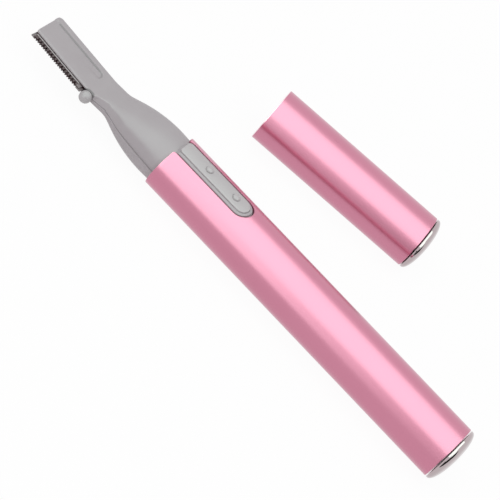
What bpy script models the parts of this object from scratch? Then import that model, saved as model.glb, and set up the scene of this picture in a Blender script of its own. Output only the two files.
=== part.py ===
"""Pen-shaped facial hair trimmer with its pull-off cap lying beside it.

Metres, +Z up. The trimmer lies on its broad back, along X: the head points to -X and the
bright end plate to +X. The blade is on the -Y side and the thumb switch faces up. The
origin is on the underside of the handle sleeve, at the middle of its length.
"""

import math

import bmesh
import bpy
from mathutils import Vector

# Clearances
FIT = 0.0002
SEAT = 0.0003
BLADE_GAP = 0.0001
SHAFT_FIT = 0.00008
PIN_FIT = 0.00015

# Handle sleeve
SLEEVE_WIDTH = 0.0176
SLEEVE_DEPTH = 0.0140
SLEEVE_WALL = 0.0007
SLOT_WIDTH = 0.0074
SLOT_LENGTH = 0.0242
SECTION_POINTS = 48

# End plates and plugs
PLATE_RISE = 0.0026
PLATE_RIM = 0.0005
PLUG_LENGTH = 0.0090
PLUG_WALL = 0.0012
PLUG_FLOOR = 0.0030

# Cap
CAP_LENGTH = 0.0502
CAP_PLUG_LENGTH = 0.0032
CAP_LINER_START = 0.0120
CAP_LINER_WALL = 0.0005
CAP_FORWARD = 0.0055
CAP_ASIDE = 0.0419
CAP_YAW = math.radians(8.15)

# Housing inside the sleeve
HOUSING_WALL = 0.0009
HOUSING_END = 0.0030
HOUSING_ROOM = 0.0030
UPPER_LENGTH = 0.0270
SEAM = 0.0002
TONGUE_RAISE = 0.0006
TONGUE_START = 0.0003
TONGUE_RAMP = 0.0008
TONGUE_LIP = 0.0001
TONGUE_BORDER = 0.0008
TRACK_DEPTH = 0.0004

# Neck
WAIST_REACH = 0.0190
WAIST_WIDTH = 0.0098
WAIST_DEPTH = 0.0042
WAIST_INSET = 0.0002
WAIST_POWER = 3.2
SWELL_POWER = 2.1
SWELL_EASE = 0.05
NECK_WALL = 0.0011

# Flat facet on the blade side of the upper moulding: distance ahead of the mouth, distance from the
# axis and lean in degrees, at each station along the neck
FACET_STATIONS = (
    (0.0246, 0.0057, 25.0),
    (0.0222, 0.0045, 25.0),
    (0.0195, 0.0041, 24.0),
    (0.0165, 0.0050, 18.0),
    (0.0130, 0.0063, 11.0),
    (0.0088, 0.0070, 8.0),
    (0.0000, 0.0080, 6.0),
)
FACET_DROP = 0.0010
NECK_RINGS = 11

# Blade plate at the front of the head
PLATE_ROOT = 0.0237
PLATE_YAW = math.radians(5.3)
PLATE_LENGTH = 0.0216
PLATE_WIDTH = 0.0100
PLATE_ASIDE = 0.0003
PLATE_DEPTH = 0.0024
PLATE_SLANT = 0.0011
TIP_RADIUS = 0.0013
TIP_SMALL_RADIUS = 0.0005
PLATE_EDGE = 0.0003
FLOOR_DEPTH = 0.0005
SPINE_WIDTH = 0.0020
POCKET_ROOT = 0.0010
DISH_DEPTH = 0.00022
DISH_ROOT = 0.0028
DISH_CORNER = 0.0016

# Blades
BLADE_DEPTH = 0.00035
COMB_REACH = 0.0013
COMB_BACK = 0.0043
COMB_OVERHANG = 0.0001
COMB_PITCH = 0.0007
COMB_GAP = 0.00035
COMB_TOOTH = 0.0009
COMB_TIP_END = 0.0013
COMB_ROOT_END = 0.0019
CUTTER_SETBACK = 0.0002
CUTTER_BACK = 0.0042
CUTTER_PITCH = 0.0010
CUTTER_GAP = 0.00055
CUTTER_TOOTH = 0.0007
CUTTER_END = 0.0006
GAP_TAPER = 0.7
LUG_WIDTH = 0.0014
LUG_REACH = 0.0009
LUG_INSET = 0.0020

# Comb catch knob
KNOB_RADIUS = 0.0017
KNOB_AHEAD = 0.00055
KNOB_PROUD = 0.00115
KNOB_SHANK = 0.0012
KNOB_SHANK_DEPTH = 0.0008
KNOB_SHANK_LENGTH = 0.0026

# Drive between motor and cutter
CRANK_OFFSET = 0.0006
CRANK_PIN_RADIUS = 0.0005
CRANK_PIN_LENGTH = 0.0024
CRANK_DISC_RADIUS = 0.0019
CRANK_DISC_LENGTH = 0.0018
LEVER_DEPTH = 0.0010
LEVER_LIFT = 0.00065
LEVER_ARM = 0.0060
LEVER_OUTPUT = 0.0038
LEVER_WIDTH = 0.0016
LEVER_HUB_RADIUS = 0.0017
LEVER_HUB_PROUD = 0.0001
FORK_ROOM = 0.0003
FORK_TINE = 0.0008
FORK_HEIGHT = 0.0038
FORK_OVERLAP = 0.0018
FORK_BAR = 0.0012
FORK_BAR_GAP = 0.0004
PIVOT_RADIUS = 0.00075
PIVOT_LENGTH = 0.0070
PIVOT_BOSS_RADIUS = 0.0017
OUTPUT_PIN_RADIUS = 0.0005
ROD_ASIDE = 0.0013
ROD_WIDTH = 0.0009
ROD_DEPTH = 0.0007
ROD_EYE_RADIUS = 0.0012
CARRIER_LENGTH = 0.0110
CARRIER_WIDTH = 0.0015

# Motor
SHAFT_RADIUS = 0.0005
CRANK_FRONT = 0.0010
MOTOR_START = 0.0065
MOTOR_LENGTH = 0.0140
MOTOR_RADIUS = 0.0048
MOTOR_FLAT = 0.0039
BEARING_RADIUS = 0.0015
BEARING_PROUD = 0.0008
BEARING_LENGTH = 0.0031
END_BELL_LENGTH = 0.0025
CUSHION_START = 0.0075
CUSHION_LENGTH = 0.0085
TERMINAL_SPREAD = 0.0030
TERMINAL_LENGTH = 0.0020
TERMINAL_HEIGHT = 0.0020
STRIP_DEPTH = 0.0003
MOTOR_POINTS = 32
BAY_END = 0.0262

# Battery and contacts
CELL_RADIUS = 0.00525
CELL_LENGTH = 0.0435
CELL_NUB_RADIUS = 0.0019
CELL_NUB_LENGTH = 0.0010
CELL_CLEARANCE = 0.00025
CELL_BAY_START = 0.0282
CONTACT_SIZE = 0.0070
CONTACT_TAIL = 0.0028
CONTACT_TAIL_WIDTH = 0.0024
CONTACT_TAIL_HEIGHT = 0.0040
SPRING_LENGTH = 0.0082
SPRING_WIRE = 0.00035
SPRING_WIDE = 0.0036
SPRING_NARROW = 0.0022
SPRING_TURNS = 5
SPRING_POINTS_A_TURN = 10
STRAP_ASIDE = 0.00625
STRAP_HEIGHT = 0.0016
STRAP_DROP = 0.0003
STRAP_START = 0.0240
STRAP_ROOM = 0.0002

# Thumb switch
PAD_START = 0.0018
PAD_CORNER = 0.0008
PAD_THICKNESS = 0.0006
PAD_TRAVEL = 0.0015
BUMP_FIRST = 0.0091
BUMP_SECOND = 0.0184
BUMP_RADIUS = 0.0011
BUMP_RISE = 0.0004
STEM_CENTRE = 0.0198
STEM_LENGTH = 0.0014
STEM_WIDTH = 0.0012
STEM_SLOT_ROOM = 0.0003
BRIDGE_LENGTH = 0.0044
BRIDGE_WIDTH = 0.0030
BRIDGE_DEPTH = 0.0004

# Sizes that follow from the ones above
CONTACT_STACK = STRIP_DEPTH + SEAT * 2
CELL_SPAN = CONTACT_STACK + CELL_NUB_LENGTH + CELL_LENGTH + SEAT
HOUSING_LENGTH = CELL_BAY_START + CELL_SPAN + SPRING_LENGTH + CONTACT_STACK + HOUSING_END
SLEEVE_LENGTH = HOUSING_LENGTH + HOUSING_ROOM + PLUG_LENGTH
AXIS_HEIGHT = SLEEVE_DEPTH / 2 * math.cos(math.pi / SECTION_POINTS)
MOUTH_X = -SLEEVE_LENGTH / 2
SLEEVE_HALF_WIDTH = SLEEVE_WIDTH / 2
SLEEVE_HALF_DEPTH = SLEEVE_DEPTH / 2
HOUSING_HALF_WIDTH = SLEEVE_HALF_WIDTH - SLEEVE_WALL - FIT
HOUSING_HALF_DEPTH = SLEEVE_HALF_DEPTH - SLEEVE_WALL - FIT
BAY_HALF_WIDTH = HOUSING_HALF_WIDTH - HOUSING_WALL
BAY_HALF_DEPTH = HOUSING_HALF_DEPTH - HOUSING_WALL
BLADE_LEVEL = PLATE_DEPTH / 2 - FLOOR_DEPTH
NEAR_EDGE = -PLATE_WIDTH / 2 - PLATE_ASIDE
FAR_EDGE = PLATE_WIDTH / 2 - PLATE_ASIDE
TEETH_EDGE = NEAR_EDGE - COMB_REACH
SPINE_EDGE = FAR_EDGE - SPINE_WIDTH
KNOB_PLACE = (-KNOB_AHEAD, NEAR_EDGE - KNOB_PROUD)
COMB_START = KNOB_AHEAD + KNOB_RADIUS + SEAT
COMB_LENGTH = PLATE_LENGTH - PLATE_SLANT / 2 + COMB_OVERHANG - COMB_START
CUTTER_TIP = TEETH_EDGE + CUTTER_SETBACK
CUTTER_EDGE = CUTTER_TIP + CUTTER_BACK
PAD_HALF_WIDTH = SLOT_WIDTH / 2 - SEAT - TONGUE_BORDER - FIT
PAD_END = SLOT_LENGTH - SEAT - TONGUE_BORDER - FIT
PIVOT_X = CRANK_FRONT + FORK_OVERLAP / 2 - LEVER_ARM
ROD_REACH = (PIVOT_X + PLATE_ROOT + ROD_ASIDE * math.sin(PLATE_YAW)) / math.cos(PLATE_YAW)
PIVOT_Y = LEVER_OUTPUT - ROD_REACH * math.sin(PLATE_YAW) - ROD_ASIDE * math.cos(PLATE_YAW)
HUB_LOW = LEVER_LIFT - LEVER_HUB_PROUD
HUB_HIGH = LEVER_LIFT + LEVER_DEPTH + LEVER_HUB_PROUD
FAR = 0.2

PINK = ("pink_aluminium", (0.80, 0.33, 0.45), 0.32, 1.0)
CHROME = ("chrome", (0.74, 0.71, 0.71), 0.08, 1.0)
GREY = ("grey_plastic", (0.42, 0.41, 0.42), 0.45, 0.0)
PALE = ("pale_plastic", (0.58, 0.58, 0.58), 0.40, 0.0)
WHITE = ("white_plastic", (0.75, 0.75, 0.73), 0.45, 0.0)
BLACK = ("black_plastic", (0.03, 0.03, 0.03), 0.50, 0.0)
RUBBER = ("rubber", (0.05, 0.05, 0.05), 0.80, 0.0)
STEEL = ("blade_steel", (0.55, 0.54, 0.53), 0.25, 1.0)
CAN = ("motor_steel", (0.60, 0.60, 0.58), 0.35, 1.0)
BRASS = ("brass", (0.72, 0.52, 0.22), 0.30, 1.0)
CELL = ("cell_jacket", (0.08, 0.16, 0.20), 0.35, 0.0)


def clear_scene():
    """Remove every object, so that the script can run in any file."""
    for old in list(bpy.data.objects):
        bpy.data.objects.remove(old, do_unlink=True)


def finish(name, colour, roughness, metallic):
    """Return the named Principled material, made on first use."""
    found = bpy.data.materials.get(name)
    if found:
        return found
    made = bpy.data.materials.new(name)
    made.use_nodes = True
    shader = made.node_tree.nodes["Principled BSDF"]
    shader.inputs["Base Color"].default_value = (*colour, 1.0)
    shader.inputs["Roughness"].default_value = roughness
    shader.inputs["Metallic"].default_value = metallic
    made.diffuse_color = (*colour, 1.0)
    return made


def add_empty(name, place, turn=0.0):
    """Add a frame for pieces to hang from, turned about Z."""
    empty = bpy.data.objects.new(name, None)
    empty.empty_display_size = 0.005
    empty.location = place
    empty.rotation_euler = (0.0, 0.0, turn)
    bpy.context.scene.collection.objects.link(empty)
    return empty


def add_mesh(name, bm, look, parent, crease=35.0):
    """Turn a bmesh into an object with its own material, hung from a frame."""
    bmesh.ops.recalc_face_normals(bm, faces=bm.faces)
    mesh = bpy.data.meshes.new(name)
    bm.to_mesh(mesh)
    bm.free()
    mesh.shade_smooth()
    mesh.set_sharp_from_angle(angle=math.radians(crease))
    piece = bpy.data.objects.new(name, mesh)
    bpy.context.scene.collection.objects.link(piece)
    if look:
        mesh.materials.append(finish(*look))
    piece.parent = parent
    return piece


def as_cutter(piece):
    """Mark an object as a tool for a Boolean: it is left out of renders."""
    piece.hide_render = True
    piece.display_type = "WIRE"
    return piece


def combine(piece, other, operation):
    """Put a live exact Boolean on a piece."""
    change = piece.modifiers.new(operation.lower() + "_" + other.name, "BOOLEAN")
    change.operation = operation
    change.solver = "EXACT"
    change.object = as_cutter(other)


def bevel(piece, width, segments=2, angle=40.0):
    """Round the sharp edges of a piece."""
    rounding = piece.modifiers.new("edge", "BEVEL")
    rounding.width = width
    rounding.segments = segments
    rounding.limit_method = "ANGLE"
    rounding.angle_limit = math.radians(angle)


def oval_ring(x, half_width, half_depth, power=2.0):
    """Points of an oval section across X: power 2 is an ellipse, more is boxier."""
    ring = []
    for index in range(SECTION_POINTS):
        turn = (index + 0.5) * math.tau / SECTION_POINTS
        across = math.copysign(abs(math.cos(turn)) ** (2 / power), math.cos(turn))
        upward = math.copysign(abs(math.sin(turn)) ** (2 / power), math.sin(turn))
        ring.append(Vector((x, half_width * across, half_depth * upward)))
    return ring


def round_ring(x, radius, y=0.0, z=0.0, count=16):
    """Points of a circle across X."""
    ring = []
    for index in range(count):
        turn = (index + 0.5) * math.tau / count
        ring.append(Vector((x, y + radius * math.cos(turn), z + radius * math.sin(turn))))
    return ring


def flatted_ring(x, radius, flat):
    """Points of a motor section: a circle with a flat above and below."""
    ring = []
    corner = math.asin(min(flat / radius, 0.999))
    for side in (0.0, math.pi):
        for index in range(MOTOR_POINTS // 2 + 1):
            turn = side - corner + 2 * corner * index / (MOTOR_POINTS // 2)
            ring.append(Vector((x, radius * math.cos(turn), radius * math.sin(turn))))
    return ring


def loft(name, rings, look, parent, hollow=False):
    """Skin a row of rings. A hollow loft runs back to its first ring, and a solid one has caps."""
    bm = bmesh.new()
    rows = [[bm.verts.new(point) for point in ring] for ring in rings]
    pairs = list(zip(rows, rows[1:]))
    if hollow:
        pairs.append((rows[-1], rows[0]))
    for first, second in pairs:
        count = len(first)
        for index in range(count):
            after = (index + 1) % count
            bm.faces.new((first[index], first[after], second[after], second[index]))
    if not hollow:
        bm.faces.new(rows[0])
        bm.faces.new(rows[-1])
    return add_mesh(name, bm, look, parent)


def prism(name, outline, low, high, look, parent):
    """Raise a plan outline from one height to another."""
    bm = bmesh.new()
    base = bm.faces.new([bm.verts.new((x, y, low)) for x, y in outline])
    raised = bmesh.ops.extrude_face_region(bm, geom=[base])
    tops = [item for item in raised["geom"] if isinstance(item, bmesh.types.BMVert)]
    bmesh.ops.translate(bm, verts=tops, vec=(0.0, 0.0, high - low))
    return add_mesh(name, bm, look, parent)


def block(name, low, high, look, parent):
    """A box between two corners."""
    outline = [(low[0], low[1]), (high[0], low[1]), (high[0], high[1]), (low[0], high[1])]
    return prism(name, outline, low[2], high[2], look, parent)


def rod_x(name, radius, start, end, look, parent, y=0.0, z=0.0, count=16):
    """A round bar along X."""
    rings = [round_ring(start, radius, y, z, count), round_ring(end, radius, y, z, count)]
    return loft(name, rings, look, parent)


def circle(centre_x, centre_y, radius, count=20, first=0.0, last=math.tau):
    """Plan points round a centre. A full turn leaves out the closing point."""
    steps = count if last - first >= math.tau - 0.001 else count - 1
    points = []
    for index in range(count):
        turn = first + (last - first) * index / steps
        points.append((centre_x + radius * math.cos(turn), centre_y + radius * math.sin(turn)))
    return points


def post_z(name, radius, x, y, low, high, look, parent, count=20):
    """A round bar along Z."""
    return prism(name, circle(x, y, radius, count), low, high, look, parent)


def on_plate(x, y):
    """Plan point of the trimmer for a point given along and across the blade plate."""
    cosine = math.cos(PLATE_YAW)
    sine = math.sin(PLATE_YAW)
    return (x * cosine + y * sine - PLATE_ROOT, -x * sine + y * cosine)


def plate_points(points):
    """Turn a whole outline from plate directions to trimmer directions."""
    return [on_plate(x, y) for x, y in points]


def sleeve(name, length, parent):
    """An open oval tube."""
    inner_width = SLEEVE_HALF_WIDTH - SLEEVE_WALL
    inner_depth = SLEEVE_HALF_DEPTH - SLEEVE_WALL
    rings = [
        oval_ring(0.0, SLEEVE_HALF_WIDTH, SLEEVE_HALF_DEPTH),
        oval_ring(length, SLEEVE_HALF_WIDTH, SLEEVE_HALF_DEPTH),
        oval_ring(length, inner_width, inner_depth),
        oval_ring(0.0, inner_width, inner_depth),
    ]
    return loft(name, rings, PINK, parent, hollow=True)


def slot_outline(half_width, start, end):
    """A straight slot from one end, closed by a half circle at the other."""
    arc = circle(end - half_width, 0.0, half_width, 13, math.pi / 2, -math.pi / 2)
    return [(start, half_width), *arc, (start, -half_width)]


def handle_sleeve(parent):
    """The handle tube, with the open-ended slot for the switch tongue."""
    piece = sleeve("handle_sleeve", SLEEVE_LENGTH, parent)
    outline = slot_outline(SLOT_WIDTH / 2, -SLOT_WIDTH, SLOT_LENGTH)
    tool = prism("slot_cutter", outline, 0.0, SLEEVE_DEPTH, None, parent)
    combine(piece, tool, "DIFFERENCE")


def end_plug(name, end, length, parent):
    """A cup pressed into a sleeve, with its floor against the end plate."""
    half_width = SLEEVE_HALF_WIDTH - SLEEVE_WALL - FIT
    half_depth = SLEEVE_HALF_DEPTH - SLEEVE_WALL - FIT
    floor = min(PLUG_FLOOR, length / 2)
    rings = [
        oval_ring(end - floor, half_width - PLUG_WALL, half_depth - PLUG_WALL),
        oval_ring(end - length, half_width - PLUG_WALL, half_depth - PLUG_WALL),
        oval_ring(end - length, half_width, half_depth),
        oval_ring(end, half_width, half_depth),
    ]
    loft(name, rings, WHITE, parent)


def end_plate(name, start, parent):
    """The bright domed plate that closes a sleeve."""
    rings = [oval_ring(start, SLEEVE_HALF_WIDTH, SLEEVE_HALF_DEPTH)]
    dome = PLATE_RISE - PLATE_RIM
    for share in (1.0, 0.985, 0.95, 0.88, 0.78, 0.64, 0.46, 0.26, 0.10):
        height = PLATE_RIM + dome * math.sqrt(1.0 - share ** 2.6)
        rings.append(oval_ring(start + height, SLEEVE_HALF_WIDTH * share, SLEEVE_HALF_DEPTH * share))
    loft(name, rings, CHROME, parent)


def cap_liner(parent):
    """The plastic sleeve inside the cap that keeps the blade off the metal."""
    outer_width = SLEEVE_HALF_WIDTH - SLEEVE_WALL - FIT
    outer_depth = SLEEVE_HALF_DEPTH - SLEEVE_WALL - FIT
    end = CAP_LENGTH - CAP_PLUG_LENGTH - SEAT
    rings = [
        oval_ring(CAP_LINER_START, outer_width, outer_depth),
        oval_ring(end, outer_width, outer_depth),
        oval_ring(end, outer_width - CAP_LINER_WALL, outer_depth - CAP_LINER_WALL),
        oval_ring(CAP_LINER_START, outer_width - CAP_LINER_WALL, outer_depth - CAP_LINER_WALL),
    ]
    loft("cap_liner", rings, WHITE, parent, hollow=True)


def neck_size(share, inset):
    """Half width, half depth and power of the neck: share 0 is the waist, 1 the mouth."""
    eased = share * share / (share + SWELL_EASE) * (1.0 + SWELL_EASE)
    swell = 1.0 - (1.0 - eased) ** SWELL_POWER
    half_width = WAIST_WIDTH / 2 + (HOUSING_HALF_WIDTH - WAIST_WIDTH / 2) * swell
    half_depth = WAIST_DEPTH / 2 + (HOUSING_HALF_DEPTH - WAIST_DEPTH / 2) * swell
    power = WAIST_POWER + (2.0 - WAIST_POWER) * share
    return half_width - inset, half_depth - inset, power


def neck_rings(inset, first_share=0.0):
    """Rings of the neck from near its waist to the mouth of the sleeve."""
    rings = []
    for index in range(NECK_RINGS):
        share = first_share + (1.0 - first_share) * index / (NECK_RINGS - 1)
        rings.append(oval_ring(-WAIST_REACH * (1.0 - share), *neck_size(share, inset)))
    return rings


def head_core(name, look, parent):
    """The neck and the long oval body that runs down inside the sleeve, as one solid."""
    ramp = oval_ring(-PLATE_ROOT, WAIST_WIDTH * 0.44, PLATE_DEPTH * 0.45, 4.0)
    end = oval_ring(HOUSING_LENGTH, HOUSING_HALF_WIDTH, HOUSING_HALF_DEPTH)
    return loft(name, [ramp, *neck_rings(0.0), end], look, parent)


def side_facet(parent):
    """Everything outside the facet that runs along the neck, from the comb catch to the sleeve."""
    rings = []
    for ahead, offset, degrees in FACET_STATIONS:
        lean = math.radians(degrees)
        outward = Vector((0.0, -math.cos(lean), math.sin(lean)))
        upward = Vector((0.0, math.sin(lean), math.cos(lean)))
        base = Vector((-ahead, 0.0, 0.0)) + outward * offset
        foot = base - upward * (offset * math.tan(lean) + FACET_DROP)
        head = base + upward * SLEEVE_DEPTH
        beyond = outward * SLEEVE_WIDTH
        rings.append([foot, head, head + beyond, foot + beyond])
    return loft("side_facet", rings, None, parent)


def plate_outline():
    """Plan of the blade plate: slanted tip, one round and one small corner, and a taper to the neck."""
    tip_near = -PLATE_LENGTH + PLATE_SLANT / 2
    tip_far = -PLATE_LENGTH - PLATE_SLANT / 2
    round_corner = circle(
        tip_far + TIP_RADIUS, FAR_EDGE - TIP_RADIUS, TIP_RADIUS, 7, math.pi / 2, math.pi
    )
    small_corner = circle(
        tip_near + TIP_SMALL_RADIUS,
        NEAR_EDGE + TIP_SMALL_RADIUS,
        TIP_SMALL_RADIUS,
        4,
        math.pi,
        math.pi * 1.5,
    )
    points = plate_points([(0.0, FAR_EDGE), *round_corner, *small_corner, (0.0, NEAR_EDGE)])
    waist = WAIST_WIDTH / 2 - WAIST_INSET
    return [*points, (-WAIST_REACH, -waist), (-WAIST_REACH, waist)]


def blade_plate(name, look, parent):
    """The flat front of the head before it is split into floor, spine and cover."""
    piece = prism(name, plate_outline(), -PLATE_DEPTH / 2, PLATE_DEPTH / 2, look, parent)
    bevel(piece, PLATE_EDGE)
    return piece


def neck_chamber(parent):
    """The hollow of the neck, where the lever swings."""
    share = 0.06
    front = neck_rings(NECK_WALL, share)
    return loft("neck_chamber", front, None, parent)


def motor_bay(parent):
    """The oval hollow round the motor."""
    rings = [
        oval_ring(-0.0010, BAY_HALF_WIDTH, BAY_HALF_DEPTH),
        oval_ring(BAY_END, BAY_HALF_WIDTH, BAY_HALF_DEPTH),
    ]
    return loft("motor_bay", rings, None, parent)


def rod_channel(parent):
    """The passage for the rod between the neck and the blade plate."""
    side = ROD_WIDTH / 2 + SEAT * 2
    points = [
        (-POCKET_ROOT * 2, -ROD_ASIDE - side),
        (WAIST_REACH / 2, -ROD_ASIDE - side),
        (WAIST_REACH / 2, -ROD_ASIDE + side),
        (-POCKET_ROOT * 2, -ROD_ASIDE + side),
    ]
    return prism("rod_channel", plate_points(points), -BLADE_LEVEL, BLADE_LEVEL, None, parent)


def knob_ball(name, radius, look, parent):
    """A ball where the comb catch stands out."""
    bm = bmesh.new()
    bmesh.ops.create_uvsphere(bm, u_segments=20, v_segments=12, radius=radius)
    x, y = on_plate(*KNOB_PLACE)
    bmesh.ops.translate(bm, verts=bm.verts, vec=(x, y, 0.0))
    return add_mesh(name, bm, look, parent)


def shank_outline(room):
    """Plan of the catch's shank, from the ball into the plate."""
    half = KNOB_SHANK / 2 + room
    x, y = KNOB_PLACE
    inner = y + KNOB_SHANK_LENGTH + room
    return plate_points([(x - half, y), (x + half, y), (x + half, inner), (x - half, inner)])


def shank_slot(parent):
    """Room for the catch's shank."""
    half = KNOB_SHANK_DEPTH / 2 + FIT
    return prism("shank_slot", shank_outline(FIT), -half, half, None, parent)


def pivot_bore(parent):
    """The two blind holes that hold the lever's pin, cut as one post."""
    half = PIVOT_LENGTH / 2 + SEAT
    radius = PIVOT_RADIUS + PIN_FIT
    return post_z("pivot_bore", radius, PIVOT_X, PIVOT_Y, -half, half, None, parent)


def pivot_boss(name, side, parent):
    """A post that stands from the housing's wall to the lever's hub."""
    half_depth = neck_size(1.0 + PIVOT_X / WAIST_REACH, NECK_WALL * 0.7)[1]
    near = HUB_LOW - SEAT if side < 0.0 else HUB_HIGH + SEAT
    ends = sorted((side * half_depth, near))
    return post_z(name, PIVOT_BOSS_RADIUS, PIVOT_X, PIVOT_Y, *ends, None, parent, 24)


def cell_bay(parent):
    """The trough for the battery."""
    radius = CELL_RADIUS + CELL_CLEARANCE
    end = HOUSING_LENGTH - HOUSING_END
    return rod_x("cell_bay", radius, CELL_BAY_START, end, None, parent, count=40)


def strap_groove(parent):
    """The groove along the trough's side, with its opening at the spring."""
    end = HOUSING_LENGTH - HOUSING_END
    turn_start = end - STRIP_DEPTH - SEAT * 2
    side = STRIP_DEPTH / 2 + STRAP_ROOM
    outline = [
        (BAY_END - STRIP_DEPTH, STRAP_ASIDE - side),
        (turn_start, STRAP_ASIDE - side),
        (turn_start, 0.0),
        (end, 0.0),
        (end, STRAP_ASIDE + side),
        (BAY_END - STRIP_DEPTH, STRAP_ASIDE + side),
    ]
    low = -STRAP_DROP - STRAP_HEIGHT - STRAP_ROOM
    return prism("strap_groove", outline, low, SLEEVE_DEPTH, None, parent)


def head_hollows(parent):
    """Every hollow that the two housings share."""
    return [
        neck_chamber(parent),
        motor_bay(parent),
        rod_channel(parent),
        knob_ball("knob_recess", KNOB_RADIUS + SEAT, None, parent),
        shank_slot(parent),
    ]


def plate_zone(name, root, side, low, high, parent):
    """A block over the blade plate, from beyond its tip to a root line and from its teeth to a side line."""
    plan = plate_points([(-FAR, -FAR), (-root, -FAR), (-root, side), (-FAR, side)])
    return prism(name, plan, low, high, None, parent)


def blade_room(parent):
    """The bed of the blades, open along the teeth and below."""
    tip_wall = -PLATE_LENGTH + PLATE_SLANT
    back = TEETH_EDGE + COMB_BACK + SEAT
    side = SPINE_EDGE - FIT
    plan = [
        (-FAR, -FAR),
        (-POCKET_ROOT, -FAR),
        (-POCKET_ROOT, side),
        (tip_wall, side),
        (tip_wall, back),
        (-FAR, back),
    ]
    return prism("blade_room", plate_points(plan), -FAR / 2, BLADE_LEVEL, None, parent)


def plate_dish(parent):
    """The shallow dish in the plate's face: deepest along the raised band, and fading to the teeth."""
    corner = circle(-DISH_ROOT - DISH_CORNER, SPINE_EDGE - DISH_CORNER, DISH_CORNER, 9, 0.0, math.pi / 2)
    plan = [(-FAR, -PLATE_WIDTH), (-DISH_ROOT, -PLATE_WIDTH), *corner, (-FAR, SPINE_EDGE)]
    slope = DISH_DEPTH / (SPINE_EDGE + PLATE_WIDTH)
    bm = bmesh.new()
    floor = []
    for x, y in plan:
        height = PLATE_DEPTH / 2 - slope * (y + PLATE_WIDTH)
        floor.append(bm.verts.new((*on_plate(x, y), height)))
    raised = bmesh.ops.extrude_face_region(bm, geom=[bm.faces.new(floor)])
    tops = [item for item in raised["geom"] if isinstance(item, bmesh.types.BMVert)]
    bmesh.ops.translate(bm, verts=tops, vec=(0.0, 0.0, PLATE_DEPTH))
    return add_mesh("plate_dish", bm, None, parent)


def lower_housing(parent, hollows):
    """The long lower moulding: the back of the neck, the motor bay and the battery trough."""
    piece = head_core("lower_housing", GREY, parent)
    end = HOUSING_LENGTH - HOUSING_END + SEAM / 2
    upper_room = block("upper_room", (-FAR, -FAR, -SEAM / 2), (end, FAR, FAR), None, parent)
    plate_room = plate_zone("plate_room", POCKET_ROOT - SEAM, FAR, -FAR, FAR, parent)
    combine(piece, blade_plate("lower_plate", GREY, parent), "UNION")
    combine(piece, plate_room, "DIFFERENCE")
    combine(piece, upper_room, "DIFFERENCE")
    for hollow in hollows:
        combine(piece, hollow, "DIFFERENCE")
    combine(piece, pivot_boss("lower_boss", -1.0, parent), "UNION")
    combine(piece, pivot_bore(parent), "DIFFERENCE")
    combine(piece, cell_bay(parent), "DIFFERENCE")
    combine(piece, strap_groove(parent), "DIFFERENCE")


def tongue(parent):
    """The raised strip on the upper housing that fills the sleeve's slot, with a ramp at its front."""
    end = SLOT_LENGTH - SEAT
    outline = slot_outline(SLOT_WIDTH / 2 - SEAT, TONGUE_START, end)
    piece = prism("tongue", outline, HOUSING_HALF_DEPTH * 0.6, SLEEVE_DEPTH, None, parent)
    rings = []
    for x, rise in ((0.0, TONGUE_LIP), (TONGUE_START + TONGUE_RAMP, TONGUE_RAISE), (FAR, TONGUE_RAISE)):
        rings.append(oval_ring(x, HOUSING_HALF_WIDTH + rise, HOUSING_HALF_DEPTH + rise))
    combine(piece, loft("tongue_crown", rings, None, parent), "INTERSECT")
    return piece


def stem_slot(parent):
    """The slot through the tongue for the switch stem."""
    start = STEM_CENTRE - STEM_LENGTH / 2 - PAD_TRAVEL - STEM_SLOT_ROOM
    end = STEM_CENTRE + STEM_LENGTH / 2 + STEM_SLOT_ROOM
    side = STEM_WIDTH / 2 + STEM_SLOT_ROOM
    return block("stem_slot", (start, -side, 0.0), (end, side, SLEEVE_DEPTH), None, parent)


def contact_window(parent):
    """The window in the upper housing's rear wall for the contact's tail."""
    side = CONTACT_TAIL_WIDTH / 2 + SEAT
    low = (BAY_END - SEAT, -side, CONTACT_TAIL_HEIGHT - STRIP_DEPTH - SEAT)
    high = (CELL_BAY_START, side, CONTACT_TAIL_HEIGHT + SEAT)
    return block("contact_window", low, high, None, parent)


def upper_housing(parent, hollows):
    """The upper moulding: the plate over the blades, the neck's face and the tongue under the switch."""
    piece = head_core("upper_housing", GREY, parent)
    root = POCKET_ROOT + SEAM / 2
    behind = [*plate_points([(-root, FAR), (-root, -FAR)]), (FAR, -FAR), (FAR, FAR)]
    lower_room = prism("lower_room", behind, -FAR, SEAM / 2, None, parent)
    cover_top = -BLADE_LEVEL + BLADE_GAP
    cover_room = plate_zone("cover_room", POCKET_ROOT, SPINE_EDGE, -FAR, cover_top, parent)
    rear_cut = block("rear_cut", (UPPER_LENGTH, -FAR, -FAR), (FAR, FAR, FAR), None, parent)
    combine(piece, blade_plate("upper_plate", GREY, parent), "UNION")
    combine(piece, plate_dish(parent), "DIFFERENCE")
    combine(piece, side_facet(parent), "DIFFERENCE")
    combine(piece, cover_room, "DIFFERENCE")
    combine(piece, blade_room(parent), "DIFFERENCE")
    combine(piece, lower_room, "DIFFERENCE")
    combine(piece, rear_cut, "DIFFERENCE")
    combine(piece, tongue(parent), "UNION")
    for hollow in hollows:
        combine(piece, hollow, "DIFFERENCE")
    combine(piece, pivot_boss("upper_boss", 1.0, parent), "UNION")
    combine(piece, bpy.data.objects["pivot_bore"], "DIFFERENCE")
    combine(piece, switch_track(parent), "DIFFERENCE")
    combine(piece, stem_slot(parent), "DIFFERENCE")
    combine(piece, contact_window(parent), "DIFFERENCE")


def blade_cover(parent):
    """The thin plate that closes the blade bed from below."""
    piece = blade_plate("blade_cover", GREY, parent)
    root = POCKET_ROOT + SEAM
    keep = plate_zone("cover_keep", root, SPINE_EDGE - FIT, -FAR, -BLADE_LEVEL, parent)
    combine(piece, keep, "INTERSECT")
    combine(piece, bpy.data.objects["knob_recess"], "DIFFERENCE")


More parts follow.
